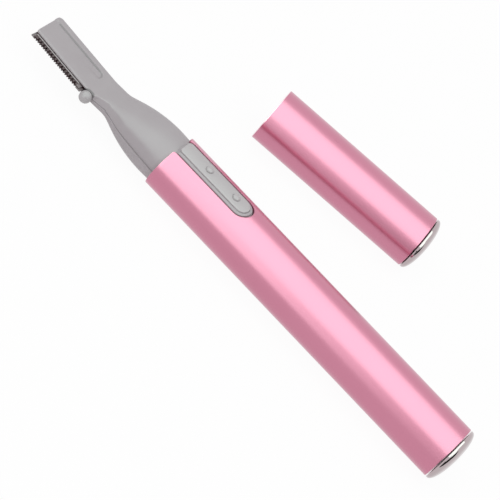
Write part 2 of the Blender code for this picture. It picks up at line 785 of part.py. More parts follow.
def tooth_gaps(start, end, tip, pitch, gap, depth):
    """Plan points of the gaps along a blade's edge, from its tip end to its root end."""
    first = start + COMB_TIP_END
    count = int((end - start - COMB_TIP_END - COMB_ROOT_END) / pitch) + 1
    floor = gap / 2 * GAP_TAPER
    points = []
    for index in range(count):
        centre = first + gap / 2 + pitch * index
        points += [
            (centre - gap / 2, tip),
            (centre - floor, tip + depth),
            (centre + floor, tip + depth),
            (centre + gap / 2, tip),
        ]
    return points


def comb_blade(parent):
    """The fixed blade under the cutter."""
    end = -COMB_START
    start = end - COMB_LENGTH
    back = TEETH_EDGE + COMB_BACK
    gaps = tooth_gaps(start, end, TEETH_EDGE, COMB_PITCH, COMB_GAP, COMB_TOOTH)
    outline = [(end, back), (start, back), (start, TEETH_EDGE), *gaps, (end, TEETH_EDGE)]
    low = -BLADE_GAP / 2 - BLADE_DEPTH
    prism("comb_blade", plate_points(outline), low, -BLADE_GAP / 2, STEEL, parent)


def lug_places():
    """Where the rod's two lugs enter the cutter, along the plate."""
    rod_end = -POCKET_ROOT * 3
    return (rod_end - LUG_INSET, rod_end - CARRIER_LENGTH + LUG_INSET)


def cutter_blade(parent):
    """The moving blade, a little shorter than the comb, with two notches for the rod's lugs."""
    end = -COMB_START - CUTTER_END
    start = -COMB_START - COMB_LENGTH + CUTTER_END
    half = LUG_WIDTH / 2 + FIT
    floor = CUTTER_EDGE - LUG_REACH
    notches = []
    for place in lug_places():
        notches += [
            (place + half, CUTTER_EDGE),
            (place + half, floor),
            (place - half, floor),
            (place - half, CUTTER_EDGE),
        ]
    gaps = tooth_gaps(start, end, CUTTER_TIP, CUTTER_PITCH, CUTTER_GAP, CUTTER_TOOTH)
    back = [(end, CUTTER_EDGE), *notches, (start, CUTTER_EDGE)]
    outline = [*back, (start, CUTTER_TIP), *gaps, (end, CUTTER_TIP)]
    high = BLADE_GAP / 2 + BLADE_DEPTH
    prism("cutter_blade", plate_points(outline), BLADE_GAP / 2, high, STEEL, parent)


def drive_rod(parent):
    """The flat rod that pushes the cutter, with an eye at the lever."""
    side = ROD_WIDTH / 2
    end = -POCKET_ROOT * 3
    start = end - CARRIER_LENGTH
    near = CUTTER_EDGE + FIT
    eye_side = math.asin(side / ROD_EYE_RADIUS)
    eye = circle(ROD_REACH, -ROD_ASIDE, ROD_EYE_RADIUS, 21, eye_side - math.pi, math.pi - eye_side)
    outline = [
        *eye,
        (end, -ROD_ASIDE + side),
        (end, near + CARRIER_WIDTH),
        (start, near + CARRIER_WIDTH),
        (start, near),
        (end, near),
        (end, -ROD_ASIDE - side),
    ]
    half = ROD_DEPTH / 2
    piece = prism("drive_rod", plate_points(outline), -half, half, WHITE, parent)
    x, y = on_plate(ROD_REACH, -ROD_ASIDE)
    radius = OUTPUT_PIN_RADIUS + PIN_FIT
    combine(piece, post_z("eye_bore", radius, x, y, -ROD_DEPTH, ROD_DEPTH, None, parent), "DIFFERENCE")
    lug_low = CUTTER_EDGE - LUG_REACH + FIT
    for index, place in enumerate(lug_places()):
        left = place - LUG_WIDTH / 2
        right = place + LUG_WIDTH / 2
        root = near + CARRIER_WIDTH / 2
        plan = plate_points([(left, lug_low), (right, lug_low), (right, root), (left, root)])
        lug = prism(f"rod_lug_{index}", plan, BLADE_GAP / 2, half - BLADE_GAP / 2, None, parent)
        combine(piece, lug, "UNION")


def comb_catch(parent):
    """The round knob beside the blade that a slip-on comb clips to."""
    piece = knob_ball("comb_catch", KNOB_RADIUS, PALE, parent)
    half = KNOB_SHANK_DEPTH / 2
    combine(piece, prism("catch_shank", shank_outline(0.0), -half, half, None, parent), "UNION")


def drive_lever(parent):
    """The bell crank: hub, long arm with the fork, and short arm with its pin. Its frame is the pivot."""
    low = LEVER_LIFT
    high = LEVER_LIFT + LEVER_DEPTH
    half = LEVER_WIDTH / 2
    axis = -PIVOT_Y
    bar_end = CRANK_FRONT - FORK_BAR_GAP - PIVOT_X
    bar_start = bar_end - FORK_BAR
    room = CRANK_PIN_RADIUS + CRANK_OFFSET * 2 + FORK_ROOM
    wide = room + FORK_TINE / 2
    points = [
        (bar_end, axis + wide),
        (bar_start, axis + wide),
        (bar_start, axis + half),
        (0.0, half),
        *circle(0.0, -LEVER_OUTPUT, half, 9, math.pi, math.tau),
        (half, -half),
        (bar_start, axis - half),
        (bar_start, axis - wide),
        (bar_end, axis - wide),
    ]
    piece = prism("drive_lever", points, low, high, WHITE, parent)
    hub = post_z("lever_hub", LEVER_HUB_RADIUS, 0.0, 0.0, HUB_LOW, HUB_HIGH, None, parent)
    combine(piece, hub, "UNION")
    pin_low = -ROD_DEPTH / 2 - SEAT
    pin_high = low + LEVER_DEPTH / 2
    pin = post_z("output_pin", OUTPUT_PIN_RADIUS, 0.0, -LEVER_OUTPUT, pin_low, pin_high, None, parent)
    combine(piece, pin, "UNION")
    tine_end = CRANK_FRONT + FORK_OVERLAP - PIVOT_X
    for name, side in (("fork_left", -1.0), ("fork_right", 1.0)):
        near = axis + side * room
        far = axis + side * (room + FORK_TINE)
        corner = (bar_end - FORK_BAR / 2, min(near, far), -FORK_HEIGHT / 2)
        other = (tine_end, max(near, far), FORK_HEIGHT / 2)
        combine(piece, block(name, corner, other, None, parent), "UNION")
    bore = post_z("hub_bore", PIVOT_RADIUS + SHAFT_FIT, 0.0, 0.0, 0.0, HUB_HIGH * 2, None, parent)
    combine(piece, bore, "DIFFERENCE")


def lever_pivot(parent):
    """The steel pin that the lever swings on."""
    half = PIVOT_LENGTH / 2
    post_z("lever_pivot", PIVOT_RADIUS, PIVOT_X, PIVOT_Y, -half, half, STEEL, parent)


def crank(parent):
    """The disc on the motor shaft with its off-centre pin."""
    disc_start = CRANK_FRONT + CRANK_PIN_LENGTH
    disc_end = disc_start + CRANK_DISC_LENGTH
    piece = rod_x("crank", CRANK_DISC_RADIUS, disc_start, disc_end, BRASS, parent, count=24)
    pin_end = disc_start + CRANK_DISC_LENGTH / 4
    pin = rod_x("crank_pin", CRANK_PIN_RADIUS, CRANK_FRONT, pin_end, None, parent, z=CRANK_OFFSET)
    combine(piece, pin, "UNION")
    bore = SHAFT_RADIUS + SHAFT_FIT
    depth = disc_start + CRANK_DISC_LENGTH / 3
    combine(piece, rod_x("crank_bore", bore, depth, disc_end * 2, None, parent), "DIFFERENCE")


def motor_shaft(parent):
    """The shaft from the crank into the motor's bearing."""
    start = CRANK_FRONT + CRANK_PIN_LENGTH + CRANK_DISC_LENGTH / 3 + BLADE_GAP
    end = MOTOR_START - BEARING_PROUD + BEARING_LENGTH - SEAT
    rod_x("motor_shaft", SHAFT_RADIUS, start, end, STEEL, parent)


def motor_can(parent):
    """The flat-sided motor case, with the seat for its bearing."""
    end = MOTOR_START + MOTOR_LENGTH
    rings = [
        flatted_ring(MOTOR_START, MOTOR_RADIUS, MOTOR_FLAT),
        flatted_ring(end, MOTOR_RADIUS, MOTOR_FLAT),
    ]
    piece = loft("motor_can", rings, CAN, parent)
    seat_end = MOTOR_START - BEARING_PROUD + BEARING_LENGTH + SEAT
    seat = rod_x("bearing_seat", BEARING_RADIUS + BLADE_GAP, 0.0, seat_end, None, parent, count=24)
    combine(piece, seat, "DIFFERENCE")


def motor_bearing(parent):
    """The bush at the front of the motor."""
    start = MOTOR_START - BEARING_PROUD
    end = start + BEARING_LENGTH
    bore = SHAFT_RADIUS + SHAFT_FIT
    rings = [
        round_ring(start, BEARING_RADIUS, count=24),
        round_ring(end, BEARING_RADIUS, count=24),
        round_ring(end, bore, count=24),
        round_ring(start, bore, count=24),
    ]
    loft("motor_bearing", rings, BRASS, parent, hollow=True)


def motor_end_bell(parent):
    """The plastic cover that closes the back of the motor."""
    start = MOTOR_START + MOTOR_LENGTH + FIT
    end = start + END_BELL_LENGTH
    rings = [
        flatted_ring(start, MOTOR_RADIUS - FIT, MOTOR_FLAT - FIT),
        flatted_ring(end, MOTOR_RADIUS - FIT, MOTOR_FLAT - FIT),
    ]
    loft("motor_end_bell", rings, BLACK, parent)


def motor_cushion(parent):
    """The rubber ring that holds the motor in its bay."""
    end = CUSHION_START + CUSHION_LENGTH
    half_width = BAY_HALF_WIDTH - SEAT
    half_depth = BAY_HALF_DEPTH - SEAT
    rings = [
        oval_ring(CUSHION_START, half_width, half_depth),
        oval_ring(end, half_width, half_depth),
    ]
    piece = loft("motor_cushion", rings, RUBBER, parent)
    hole = [
        flatted_ring(0.0, MOTOR_RADIUS + FIT, MOTOR_FLAT + FIT),
        flatted_ring(end * 2, MOTOR_RADIUS + FIT, MOTOR_FLAT + FIT),
    ]
    combine(piece, loft("cushion_hole", hole, None, parent), "DIFFERENCE")


def motor_terminals(parent):
    """The two tabs behind the motor."""
    start = MOTOR_START + MOTOR_LENGTH + FIT + END_BELL_LENGTH + FIT
    half = TERMINAL_HEIGHT / 2
    for name, side in (("motor_terminal_left", -1.0), ("motor_terminal_right", 1.0)):
        middle = side * TERMINAL_SPREAD
        low = (start, middle - STRIP_DEPTH / 2, -half)
        high = (start + TERMINAL_LENGTH, middle + STRIP_DEPTH / 2, half)
        block(name, low, high, BRASS, parent)


def cell_front():
    """Where the tip of the battery's nub lies."""
    return CELL_BAY_START + CONTACT_STACK


def battery_cell(parent):
    """The AAA cell: jacket and nub."""
    front = cell_front()
    shoulder = front + CELL_NUB_LENGTH
    end = shoulder + CELL_LENGTH
    corner = 0.0004
    rings = [
        round_ring(front, CELL_NUB_RADIUS, count=32),
        round_ring(shoulder, CELL_NUB_RADIUS, count=32),
        round_ring(shoulder, CELL_RADIUS - corner, count=32),
        round_ring(shoulder + corner, CELL_RADIUS, count=32),
        round_ring(end - corner, CELL_RADIUS, count=32),
        round_ring(end, CELL_RADIUS - corner, count=32),
    ]
    loft("battery_cell", rings, CELL, parent)


def positive_contact(parent):
    """The plate at the battery's nub, with a tail towards the switch."""
    start = CELL_BAY_START + SEAT
    half = CONTACT_SIZE / 2
    block(
        "positive_contact",
        (start, -half, -half),
        (start + STRIP_DEPTH, half, CONTACT_TAIL_HEIGHT),
        BRASS,
        parent,
    )
    tail = block(
        "contact_tail",
        (start - CONTACT_TAIL, -CONTACT_TAIL_WIDTH / 2, CONTACT_TAIL_HEIGHT - STRIP_DEPTH),
        (start + STRIP_DEPTH / 2, CONTACT_TAIL_WIDTH / 2, CONTACT_TAIL_HEIGHT),
        None,
        parent,
    )
    combine(bpy.data.objects["positive_contact"], tail, "UNION")


def strap_turn():
    """Where the strap turns across behind the spring."""
    return HOUSING_LENGTH - HOUSING_END - SEAT - STRIP_DEPTH


def negative_strap(parent):
    """The strip from the spring's seat along the trough to the motor."""
    turn = strap_turn()
    near = STRAP_ASIDE - STRIP_DEPTH / 2
    far = STRAP_ASIDE + STRIP_DEPTH / 2
    half = CONTACT_SIZE / 2
    outline = [
        (STRAP_START, near),
        (turn, near),
        (turn, -half),
        (turn + STRIP_DEPTH, -half),
        (turn + STRIP_DEPTH, far),
        (STRAP_START, far),
    ]
    low = -STRAP_DROP - STRAP_HEIGHT
    piece = prism("negative_strap", outline, low, -STRAP_DROP, BRASS, parent)
    plate = block("strap_plate", (turn, -half, -half), (turn + STRIP_DEPTH, half, half), None, parent)
    combine(piece, plate, "UNION")


def negative_spring(parent):
    """The cone spring between the battery and the strap, one unbroken wire."""
    start = cell_front() + CELL_NUB_LENGTH + CELL_LENGTH + SEAT + SPRING_WIRE
    end = strap_turn() - SEAT - SPRING_WIRE
    data = bpy.data.curves.new("negative_spring", "CURVE")
    data.dimensions = "3D"
    data.bevel_depth = SPRING_WIRE
    data.bevel_resolution = 1
    data.use_fill_caps = True
    count = SPRING_TURNS * SPRING_POINTS_A_TURN + 1
    line = data.splines.new("POLY")
    line.points.add(count - 1)
    for index in range(count):
        share = index / (count - 1)
        turn = share * SPRING_TURNS * math.tau
        radius = SPRING_NARROW + (SPRING_WIDE - SPRING_NARROW) * share
        x = start + (end - start) * share
        line.points[index].co = (x, radius * math.cos(turn), radius * math.sin(turn), 1.0)
    data.materials.append(finish(*STEEL))
    piece = bpy.data.objects.new("negative_spring", data)
    bpy.context.scene.collection.objects.link(piece)
    piece.parent = parent


def pad_blank(name, low, high, outline, parent, look):
    """A strip of the given plan between two ovals that follow the sleeve's curve."""
    piece = prism(name, outline, HOUSING_HALF_DEPTH * 0.6, SLEEVE_DEPTH, look, parent)
    for step, rise, operation in (("outer", high, "INTERSECT"), ("inner", low, "DIFFERENCE")):
        half_width = HOUSING_HALF_WIDTH + rise
        half_depth = HOUSING_HALF_DEPTH + rise
        rings = [oval_ring(-FAR, half_width, half_depth), oval_ring(FAR, half_width, half_depth)]
        combine(piece, loft(name + "_" + step, rings, None, parent), operation)
    return piece


def pad_outline(start, room):
    """Plan of the thumb slide: two small corners at its front and a round back."""
    half = PAD_HALF_WIDTH + room
    corner = PAD_CORNER + room
    front = start + corner
    left = circle(front, corner - half, corner, 5, math.pi * 1.5, math.pi)
    right = circle(front, half - corner, corner, 5, math.pi, math.pi / 2)
    back = circle(PAD_END - PAD_HALF_WIDTH, 0.0, half, 13, math.pi / 2, -math.pi / 2)
    return [*left, *right, *back]


def switch_track(parent):
    """The sunk track that the thumb slide runs in, with room for its travel."""
    outline = pad_outline(PAD_START - PAD_TRAVEL - FIT, FIT)
    low = TONGUE_RAISE - TRACK_DEPTH
    return pad_blank("switch_track", low, TONGUE_RAISE * 2, outline, parent, None)


def switch_pad(parent):
    """The thumb slide: a curved pad with two bumps and a stem through the tongue."""
    low = TONGUE_RAISE - TRACK_DEPTH + SEAT
    high = low + PAD_THICKNESS
    piece = pad_blank("switch_pad", low, high, pad_outline(PAD_START, 0.0), parent, GREY)
    surface = HOUSING_HALF_DEPTH + high
    for name, place in (("bump_front", BUMP_FIRST), ("bump_back", BUMP_SECOND)):
        bm = bmesh.new()
        bmesh.ops.create_uvsphere(bm, u_segments=16, v_segments=10, radius=BUMP_RADIUS)
        bmesh.ops.scale(bm, verts=bm.verts, vec=(1.0, 1.0, BUMP_RISE / BUMP_RADIUS))
        bmesh.ops.translate(bm, verts=bm.verts, vec=(place, 0.0, surface))
        combine(piece, add_mesh(name, bm, None, parent), "UNION")
    reach = BAY_HALF_DEPTH - SEAT
    side = STEM_WIDTH / 2
    stem_low = (STEM_CENTRE - STEM_LENGTH / 2, -side, reach)
    stem_high = (STEM_CENTRE + STEM_LENGTH / 2, side, surface - PAD_THICKNESS / 2)
    combine(piece, block("switch_stem", stem_low, stem_high, None, parent), "UNION")


def switch_bridge(parent):
    """The contact under the stem."""
    top = BAY_HALF_DEPTH - SEAT - FIT
    low = (STEM_CENTRE - BRIDGE_LENGTH / 3, -BRIDGE_WIDTH / 2, top - BRIDGE_DEPTH)
    high = (STEM_CENTRE + BRIDGE_LENGTH * 2 / 3, BRIDGE_WIDTH / 2, top)
    block("switch_bridge", low, high, BRASS, parent)


def build_trimmer():
    """Everything that is held together as the trimmer itself."""
    frame = add_empty("trimmer_frame", (MOUTH_X, 0.0, AXIS_HEIGHT))
    pivot_place = (MOUTH_X + PIVOT_X, PIVOT_Y, AXIS_HEIGHT)
    pivot_frame = add_empty("lever_frame", pivot_place)
    handle_sleeve(frame)
    end_plug("handle_end_plug", SLEEVE_LENGTH, PLUG_LENGTH, frame)
    end_plate("handle_end_plate", SLEEVE_LENGTH + FIT, frame)
    hollows = head_hollows(frame)
    lower_housing(frame, hollows)
    upper_housing(frame, hollows)
    blade_cover(frame)
    comb_blade(frame)
    cutter_blade(frame)
    drive_rod(frame)
    comb_catch(frame)
    drive_lever(pivot_frame)
    lever_pivot(frame)
    crank(frame)
    motor_shaft(frame)
    motor_can(frame)
    motor_bearing(frame)
    motor_end_bell(frame)
    motor_cushion(frame)
    motor_terminals(frame)
    battery_cell(frame)
    positive_contact(frame)
    negative_strap(frame)
    negative_spring(frame)
    switch_pad(frame)
    switch_bridge(frame)


def build_cap():
    """The cap, lying beside the handle."""
    place = (MOUTH_X + CAP_FORWARD, CAP_ASIDE, AXIS_HEIGHT)
    frame = add_empty("cap_frame", place, CAP_YAW)
    sleeve("cap_sleeve", CAP_LENGTH, frame)
    cap_liner(frame)
    end_plug("cap_end_plug", CAP_LENGTH, CAP_PLUG_LENGTH, frame)
    end_plate("cap_end_plate", CAP_LENGTH + FIT, frame)


clear_scene()
build_trimmer()
build_cap()
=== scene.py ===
"""Looks of a pen-shaped facial hair trimmer and its pull-off cap.

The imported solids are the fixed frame. Metres, +Z up: the trimmer lies along X with its head
to -X, the blade on the -Y side and the thumb switch facing up. Shapes are drawn from the middle
of the sleeve's front rim, with Z from the tube's axis, and are then set down on the frame.
"""

from __future__ import annotations

import logging
import math
from collections.abc import Callable, Sequence
from dataclasses import dataclass
from enum import Enum

import bmesh
import bpy
from mathutils import Matrix, Vector

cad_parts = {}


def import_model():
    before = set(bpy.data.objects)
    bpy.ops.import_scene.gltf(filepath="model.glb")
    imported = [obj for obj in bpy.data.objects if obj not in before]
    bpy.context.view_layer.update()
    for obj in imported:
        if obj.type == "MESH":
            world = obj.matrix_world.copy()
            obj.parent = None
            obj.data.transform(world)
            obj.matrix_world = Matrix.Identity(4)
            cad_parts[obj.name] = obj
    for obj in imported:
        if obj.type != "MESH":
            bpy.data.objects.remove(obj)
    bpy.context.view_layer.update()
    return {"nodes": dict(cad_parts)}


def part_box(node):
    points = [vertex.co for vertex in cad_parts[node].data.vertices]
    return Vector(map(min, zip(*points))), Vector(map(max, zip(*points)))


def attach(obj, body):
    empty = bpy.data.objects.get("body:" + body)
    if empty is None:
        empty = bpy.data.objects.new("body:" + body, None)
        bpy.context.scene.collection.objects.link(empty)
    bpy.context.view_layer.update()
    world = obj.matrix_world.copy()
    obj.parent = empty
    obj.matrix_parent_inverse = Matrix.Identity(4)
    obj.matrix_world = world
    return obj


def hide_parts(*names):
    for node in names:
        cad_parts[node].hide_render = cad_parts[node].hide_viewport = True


LOG = logging.getLogger("trimmer")
PICTURE_SIDE = 500
FAR = 0.2
SLACK = 1e-7
LEAST_SPAN = 1e-12
MILLIMETRE = 0.001
LEAST_CORNER = 0.02
CORNER_POINTS = 5
BACK_POINTS = 12

Piece = bpy.types.Object
Look = bpy.types.Material
Tree = bpy.types.NodeTree
Socket = bpy.types.NodeSocket
Shader = bpy.types.ShaderNodeBsdfPrincipled
Pair = tuple[float, float]
Triple = tuple[float, float, float]
Plan = list[Pair]
HeightField = Callable[[float, float, float], float]


class Slot(Enum):
    """Material slots of the record."""

    PINK = "pink_aluminium"
    CHROME = "bright_plate"
    GREY = "grey_plastic"
    PALE = "pale_plastic"
    WHITE = "white_plastic"
    BLACK = "black_plastic"
    RUBBER = "cushion_rubber"
    BLADE = "blade_steel"
    MOTOR = "motor_steel"
    BRASS = "contact_brass"
    CELL = "cell_jacket"


class Body(Enum):
    """Bodies of the frame that new pieces ride on."""

    HOUSING = "housing"
    SLEEVE = "sleeve"
    SWITCH = "switch"
    CUTTER = "cutter"
    CAP = "cap"


class Operation(Enum):
    """What a tool does to the piece that it meets."""

    CUT = "DIFFERENCE"
    JOIN = "UNION"


def sheet(name: str, width: float, depth: float) -> Piece:
    """Add a plain four-cornered sheet at the origin.

    Args:
        name: Name of the sheet.
        width: Its size along X.
        depth: Its size along Y.

    Returns:
        The sheet.
    """
    corners = [(-1, -1), (1, -1), (1, 1), (-1, 1)]
    mesh = bpy.data.meshes.new(name)
    mesh.from_pydata([(x * width / 2, y * depth / 2, 0.0) for x, y in corners], [], [(0, 1, 2, 3)])
    piece = bpy.data.objects.new(name, mesh)
    bpy.context.scene.collection.objects.link(piece)
    return piece


def bare_look(name: str) -> tuple[Look, Tree]:
    """Start a material without nodes.

    Args:
        name: Name of the material.

    Returns:
        The material and its empty node tree.
    """
    look = bpy.data.materials.new(name)
    look.use_nodes = True
    look.node_tree.nodes.clear()
    return look, look.node_tree


@dataclass(frozen=True)
class PhotoCamera:
    """The camera that took the photograph, fitted to the trimmer's outline."""

    turn: float = math.radians(5.514)
    elevation: float = math.radians(40.625)
    roll: float = math.radians(42.769)
    distance: float = 0.5928
    focal_pixels: float = 2396.0
    look_x: float = 0.0288
    look_y: float = 0.006787
    sensor: float = 36.0
    nearest: float = 0.01
    farthest: float = 10.0

    def build(self, mouth_x: float) -> None:
        """Add the camera.

        Args:
            mouth_x: X of the sleeve's front rim, which the look-at point is counted from.
        """
        flat = math.cos(self.elevation)
        back = Vector((math.sin(self.turn) * flat, -math.cos(self.turn) * flat, math.sin(self.elevation)))
        level = Vector((math.cos(self.turn), math.sin(self.turn), 0.0))
        upright = back.cross(level)
        right = level * math.cos(self.roll) + upright * math.sin(self.roll)
        up = upright * math.cos(self.roll) - level * math.sin(self.roll)
        data = bpy.data.cameras.new("photo_camera")
        data.sensor_fit = "HORIZONTAL"
        data.sensor_width = self.sensor
        data.lens = self.focal_pixels / PICTURE_SIDE * self.sensor
        data.clip_start = self.nearest
        data.clip_end = self.farthest
        camera = bpy.data.objects.new("photo_camera", data)
        place = Vector((self.look_x + mouth_x, self.look_y, 0.0)) + back * self.distance
        axes = Matrix((right, up, back)).transposed().to_4x4()
        camera.matrix_world = Matrix.Translation(place) @ axes
        bpy.context.scene.collection.objects.link(camera)
        bpy.context.scene.camera = camera


@dataclass(frozen=True)
class Card:
    """A plain sheet of the studio that only shows as a mirrored patch."""

    name: str
    centre: Triple
    width: float
    height: float
    brightness: float
    aim: Triple = (0.0, 0.0, 0.0)
    tint: Triple = (0.83, 1.0, 0.92)

    def build(self) -> None:
        """Add the card, facing its aim, and mark it as stage."""
        card = sheet(self.name, self.width, self.height)
        card.location = self.centre
        outward = Vector(self.centre) - Vector(self.aim)
        card.rotation_euler = outward.to_track_quat("Z", "Y").to_euler()
        look, tree = bare_look(self.name)
        glow = tree.nodes.new("ShaderNodeEmission")
        glow.inputs["Color"].default_value = (*self.tint, 1.0)
        glow.inputs["Strength"].default_value = self.brightness
        out = tree.nodes.new("ShaderNodeOutputMaterial")
        tree.links.new(glow.outputs["Emission"], out.inputs["Surface"])
        card.data.materials.append(look)
        card.visible_camera = False
        card.visible_diffuse = False
        card.visible_shadow = False


@dataclass(frozen=True)
class Studio:
    """Plain pale floor, a soft lamp, mirrored cards and white surroundings."""

    floor_size: float = 3.2
    floor_drop: float = 0.00004
    floor_white: float = 0.96
    floor_glow: float = 0.95
    sky: float = 0.58
    lamps: tuple[tuple[str, Triple, float, float, float], ...] = (
        ("softbox", (0.0, -0.20, 0.56), 1.30, 0.90, 0.62),
    )
    cards: tuple[Card, ...] = (
        Card("softbox_face", (-0.29, 0.0275, 0.449), 1.02, 0.642, 2.55, aim=(-0.29, 0.0, 0.0)),
        Card("side_panel", (-0.365, -0.466, 0.378), 0.67, 0.413, 2.75, aim=(-0.365, 0.0, 0.0)),
        Card("end_screen", (0.270, -0.040, 0.330), 0.18, 0.20, 2.50, aim=(0.05, 0.02, 0.0)),
        Card("end_flag", (0.300, -0.070, 0.100), 0.40, 0.200, 0.01, aim=(0.05, 0.02, 0.100)),
        Card("side_flag", (0.247, -0.460, 0.180), 0.14, 0.36, 0.01, aim=(0.05, 0.0, 0.18)),
    )

    def build(self) -> None:
        """Add the floor, the lamps, the cards and the world."""
        self.floor()
        self.world()
        for name, place, width, depth, brightness in self.lamps:
            self.lamp(name, Vector(place), width, depth, brightness)
        for card in self.cards:
            card.build()
        bpy.context.scene.view_settings.view_transform = "Standard"

    @staticmethod
    def lamp(name: str, place: Vector, width: float, depth: float, brightness: float) -> None:
        """Add a soft rectangular lamp that faces the origin.

        Args:
            name: Name of the lamp.
            place: Its centre.
            width: Size along X.
            depth: Size across X.
            brightness: How bright its face looks, where 1 is white.
        """
        data = bpy.data.lights.new(name, "AREA")
        data.shape = "RECTANGLE"
        data.size = width
        data.size_y = depth
        data.energy = brightness * math.pi * width * depth
        lamp = bpy.data.objects.new(name, data)
        lamp.location = place
        lamp.rotation_euler = place.to_track_quat("Z", "Y").to_euler()
        lamp.visible_glossy = False
        bpy.context.scene.collection.objects.link(lamp)

    def floor(self) -> None:
        """Add the floor: lit white that keeps the shadow, with a share of even white for the camera."""
        floor = sheet("floor", self.floor_size, self.floor_size)
        floor.location.z = -self.floor_drop
        look, tree = bare_look("pale_floor")
        lit = tree.nodes.new("ShaderNodeBsdfDiffuse")
        lit.inputs["Color"].default_value = (self.floor_white,) * 3 + (1.0,)
        even = tree.nodes.new("ShaderNodeEmission")
        even.inputs["Strength"].default_value = 1.0
        blend = tree.nodes.new("ShaderNodeMixShader")
        out = tree.nodes.new("ShaderNodeOutputMaterial")
        tree.links.new(self.seen(tree, self.floor_glow), blend.inputs["Fac"])
        tree.links.new(lit.outputs["BSDF"], blend.inputs[1])
        tree.links.new(even.outputs["Emission"], blend.inputs[2])
        tree.links.new(blend.outputs["Shader"], out.inputs["Surface"])
        floor.data.materials.append(look)

    def world(self) -> None:
        """Set a world that is white where it is seen and dimmer where it lights."""
        world = bpy.data.worlds.new("studio")
        world.use_nodes = True
        tree = world.node_tree
        tree.nodes.clear()
        blend = tree.nodes.new("ShaderNodeMixShader")
        out = tree.nodes.new("ShaderNodeOutputWorld")
        tree.links.new(self.seen(tree, 1.0), blend.inputs["Fac"])
        for index, strength in enumerate((self.sky, 1.0), start=1):
            shade = tree.nodes.new("ShaderNodeBackground")
            shade.inputs["Color"].default_value = (1.0, 1.0, 1.0, 1.0)
            shade.inputs["Strength"].default_value = strength
            tree.links.new(shade.outputs["Background"], blend.inputs[index])
        tree.links.new(blend.outputs["Shader"], out.inputs["Surface"])
        bpy.context.scene.world = world

    @staticmethod
    def seen(tree: Tree, share: float) -> Socket:
        """Tell camera, glossy and transmission rays from the others.

        Args:
            tree: The node tree to work in.
            share: What those rays get.

        Returns:
            The share for those rays, and zero for the others.
        """
        path = tree.nodes.new("ShaderNodeLightPath")
        value = path.outputs["Is Camera Ray"]
        for label in ("Is Glossy Ray", "Is Transmission Ray"):
            either = tree.nodes.new("ShaderNodeMath")
            either.operation = "MAXIMUM"
            tree.links.new(value, either.inputs[0])
            tree.links.new(path.outputs[label], either.inputs[1])
            value = either.outputs["Value"]
        part = tree.nodes.new("ShaderNodeMath")
        part.operation = "MULTIPLY"
        part.inputs[1].default_value = share
        tree.links.new(value, part.inputs[0])
        return part.outputs["Value"]


class GroupMaker:
    """A shader node group under construction."""

    def __init__(self, name: str, inputs: dict[str, float], outputs: dict[str, str]) -> None:
        """Start a group.

        Args:
            name: Name of the group.
            inputs: Named number inputs and their first values.
            outputs: Named outputs and their socket types.
        """
        self.tree = bpy.data.node_groups.new(name, "ShaderNodeTree")
        for label, value in inputs.items():
            socket = self.tree.interface.new_socket(label, in_out="INPUT", socket_type="NodeSocketFloat")
            socket.default_value = value
        for label, kind in outputs.items():
            self.tree.interface.new_socket(label, in_out="OUTPUT", socket_type=kind)
        self.start = self.tree.nodes.new("NodeGroupInput")
        self.end = self.tree.nodes.new("NodeGroupOutput")
        self.spot = self.tree.nodes.new("ShaderNodeTexCoord").outputs["Object"]

    def stretched(self, stretch: Triple) -> Socket:
        """Scale the object's coordinates unevenly, so that a pattern runs in one direction.

        Args:
            stretch: The scale along each direction.

        Returns:
            The coordinates.
        """
        mapping = self.tree.nodes.new("ShaderNodeMapping")
        mapping.inputs["Scale"].default_value = stretch
        self.tree.links.new(self.spot, mapping.inputs["Vector"])
        return mapping.outputs["Vector"]

    def noise(self, place: Socket, scale: str | float, detail: float) -> Socket:
        """Add a noise pattern.

        Args:
            place: Where the pattern is read.
            scale: The name of a group input, or a plain number.
            detail: How many finer layers it has.

        Returns:
            The pattern's value.
        """
        node = self.tree.nodes.new("ShaderNodeTexNoise")
        node.inputs["Detail"].default_value = detail
        self.tree.links.new(place, node.inputs["Vector"])
        if isinstance(scale, str):
            self.tree.links.new(self.start.outputs[scale], node.inputs["Scale"])
        else:
            node.inputs["Scale"].default_value = scale
        return node.outputs["Fac"]

    def maths(
        self,
        operation: str,
        first: Socket | float,
        second: Socket | float,
        clamp: bool = False,
    ) -> Socket:
        """Add a sum on two values.

        Args:
            operation: The kind of sum.
            first: A socket or a plain number.
            second: A socket or a plain number.
            clamp: Keep the result between 0 and 1.

        Returns:
            The result.
        """
        node = self.tree.nodes.new("ShaderNodeMath")
        node.operation = operation
        node.use_clamp = clamp
        for index, value in enumerate((first, second)):
            if isinstance(value, Socket):
                self.tree.links.new(value, node.inputs[index])
            else:
                node.inputs[index].default_value = value
        return node.outputs["Value"]

    def given(self, label: str) -> Socket:
        """Return a named input, as seen inside the group."""
        return self.start.outputs[label]

    def attribute(self, name: str) -> Socket:
        """Read a value that is stored in the mesh.

        Args:
            name: Its name there.

        Returns:
            The value.
        """
        node = self.tree.nodes.new("ShaderNodeAttribute")
        node.attribute_name = name
        return node.outputs["Fac"]

    def put(self, label: str, value: Socket) -> None:
        """Send a value to a named output."""
        self.tree.links.new(value, self.end.inputs[label])


VALUE = "NodeSocketFloat"
GRAIN_LAYERS = 3.0
SLOW_LAYERS = 2.0
LINE_LAYERS = 4.0
MOULD_PATCHES = 160.0
METAL_PATCHES = 90.0
LINE_STRETCH = (60.0, 5200.0, 5200.0)
LINE_SHARE = 0.6
BREAK_DEPTH = 0.5
BREAK_BASE = 0.75
MIDDLE = 0.5
MIX_BASE, MIX_OVER, MIX_RESULT = 6, 7, 2


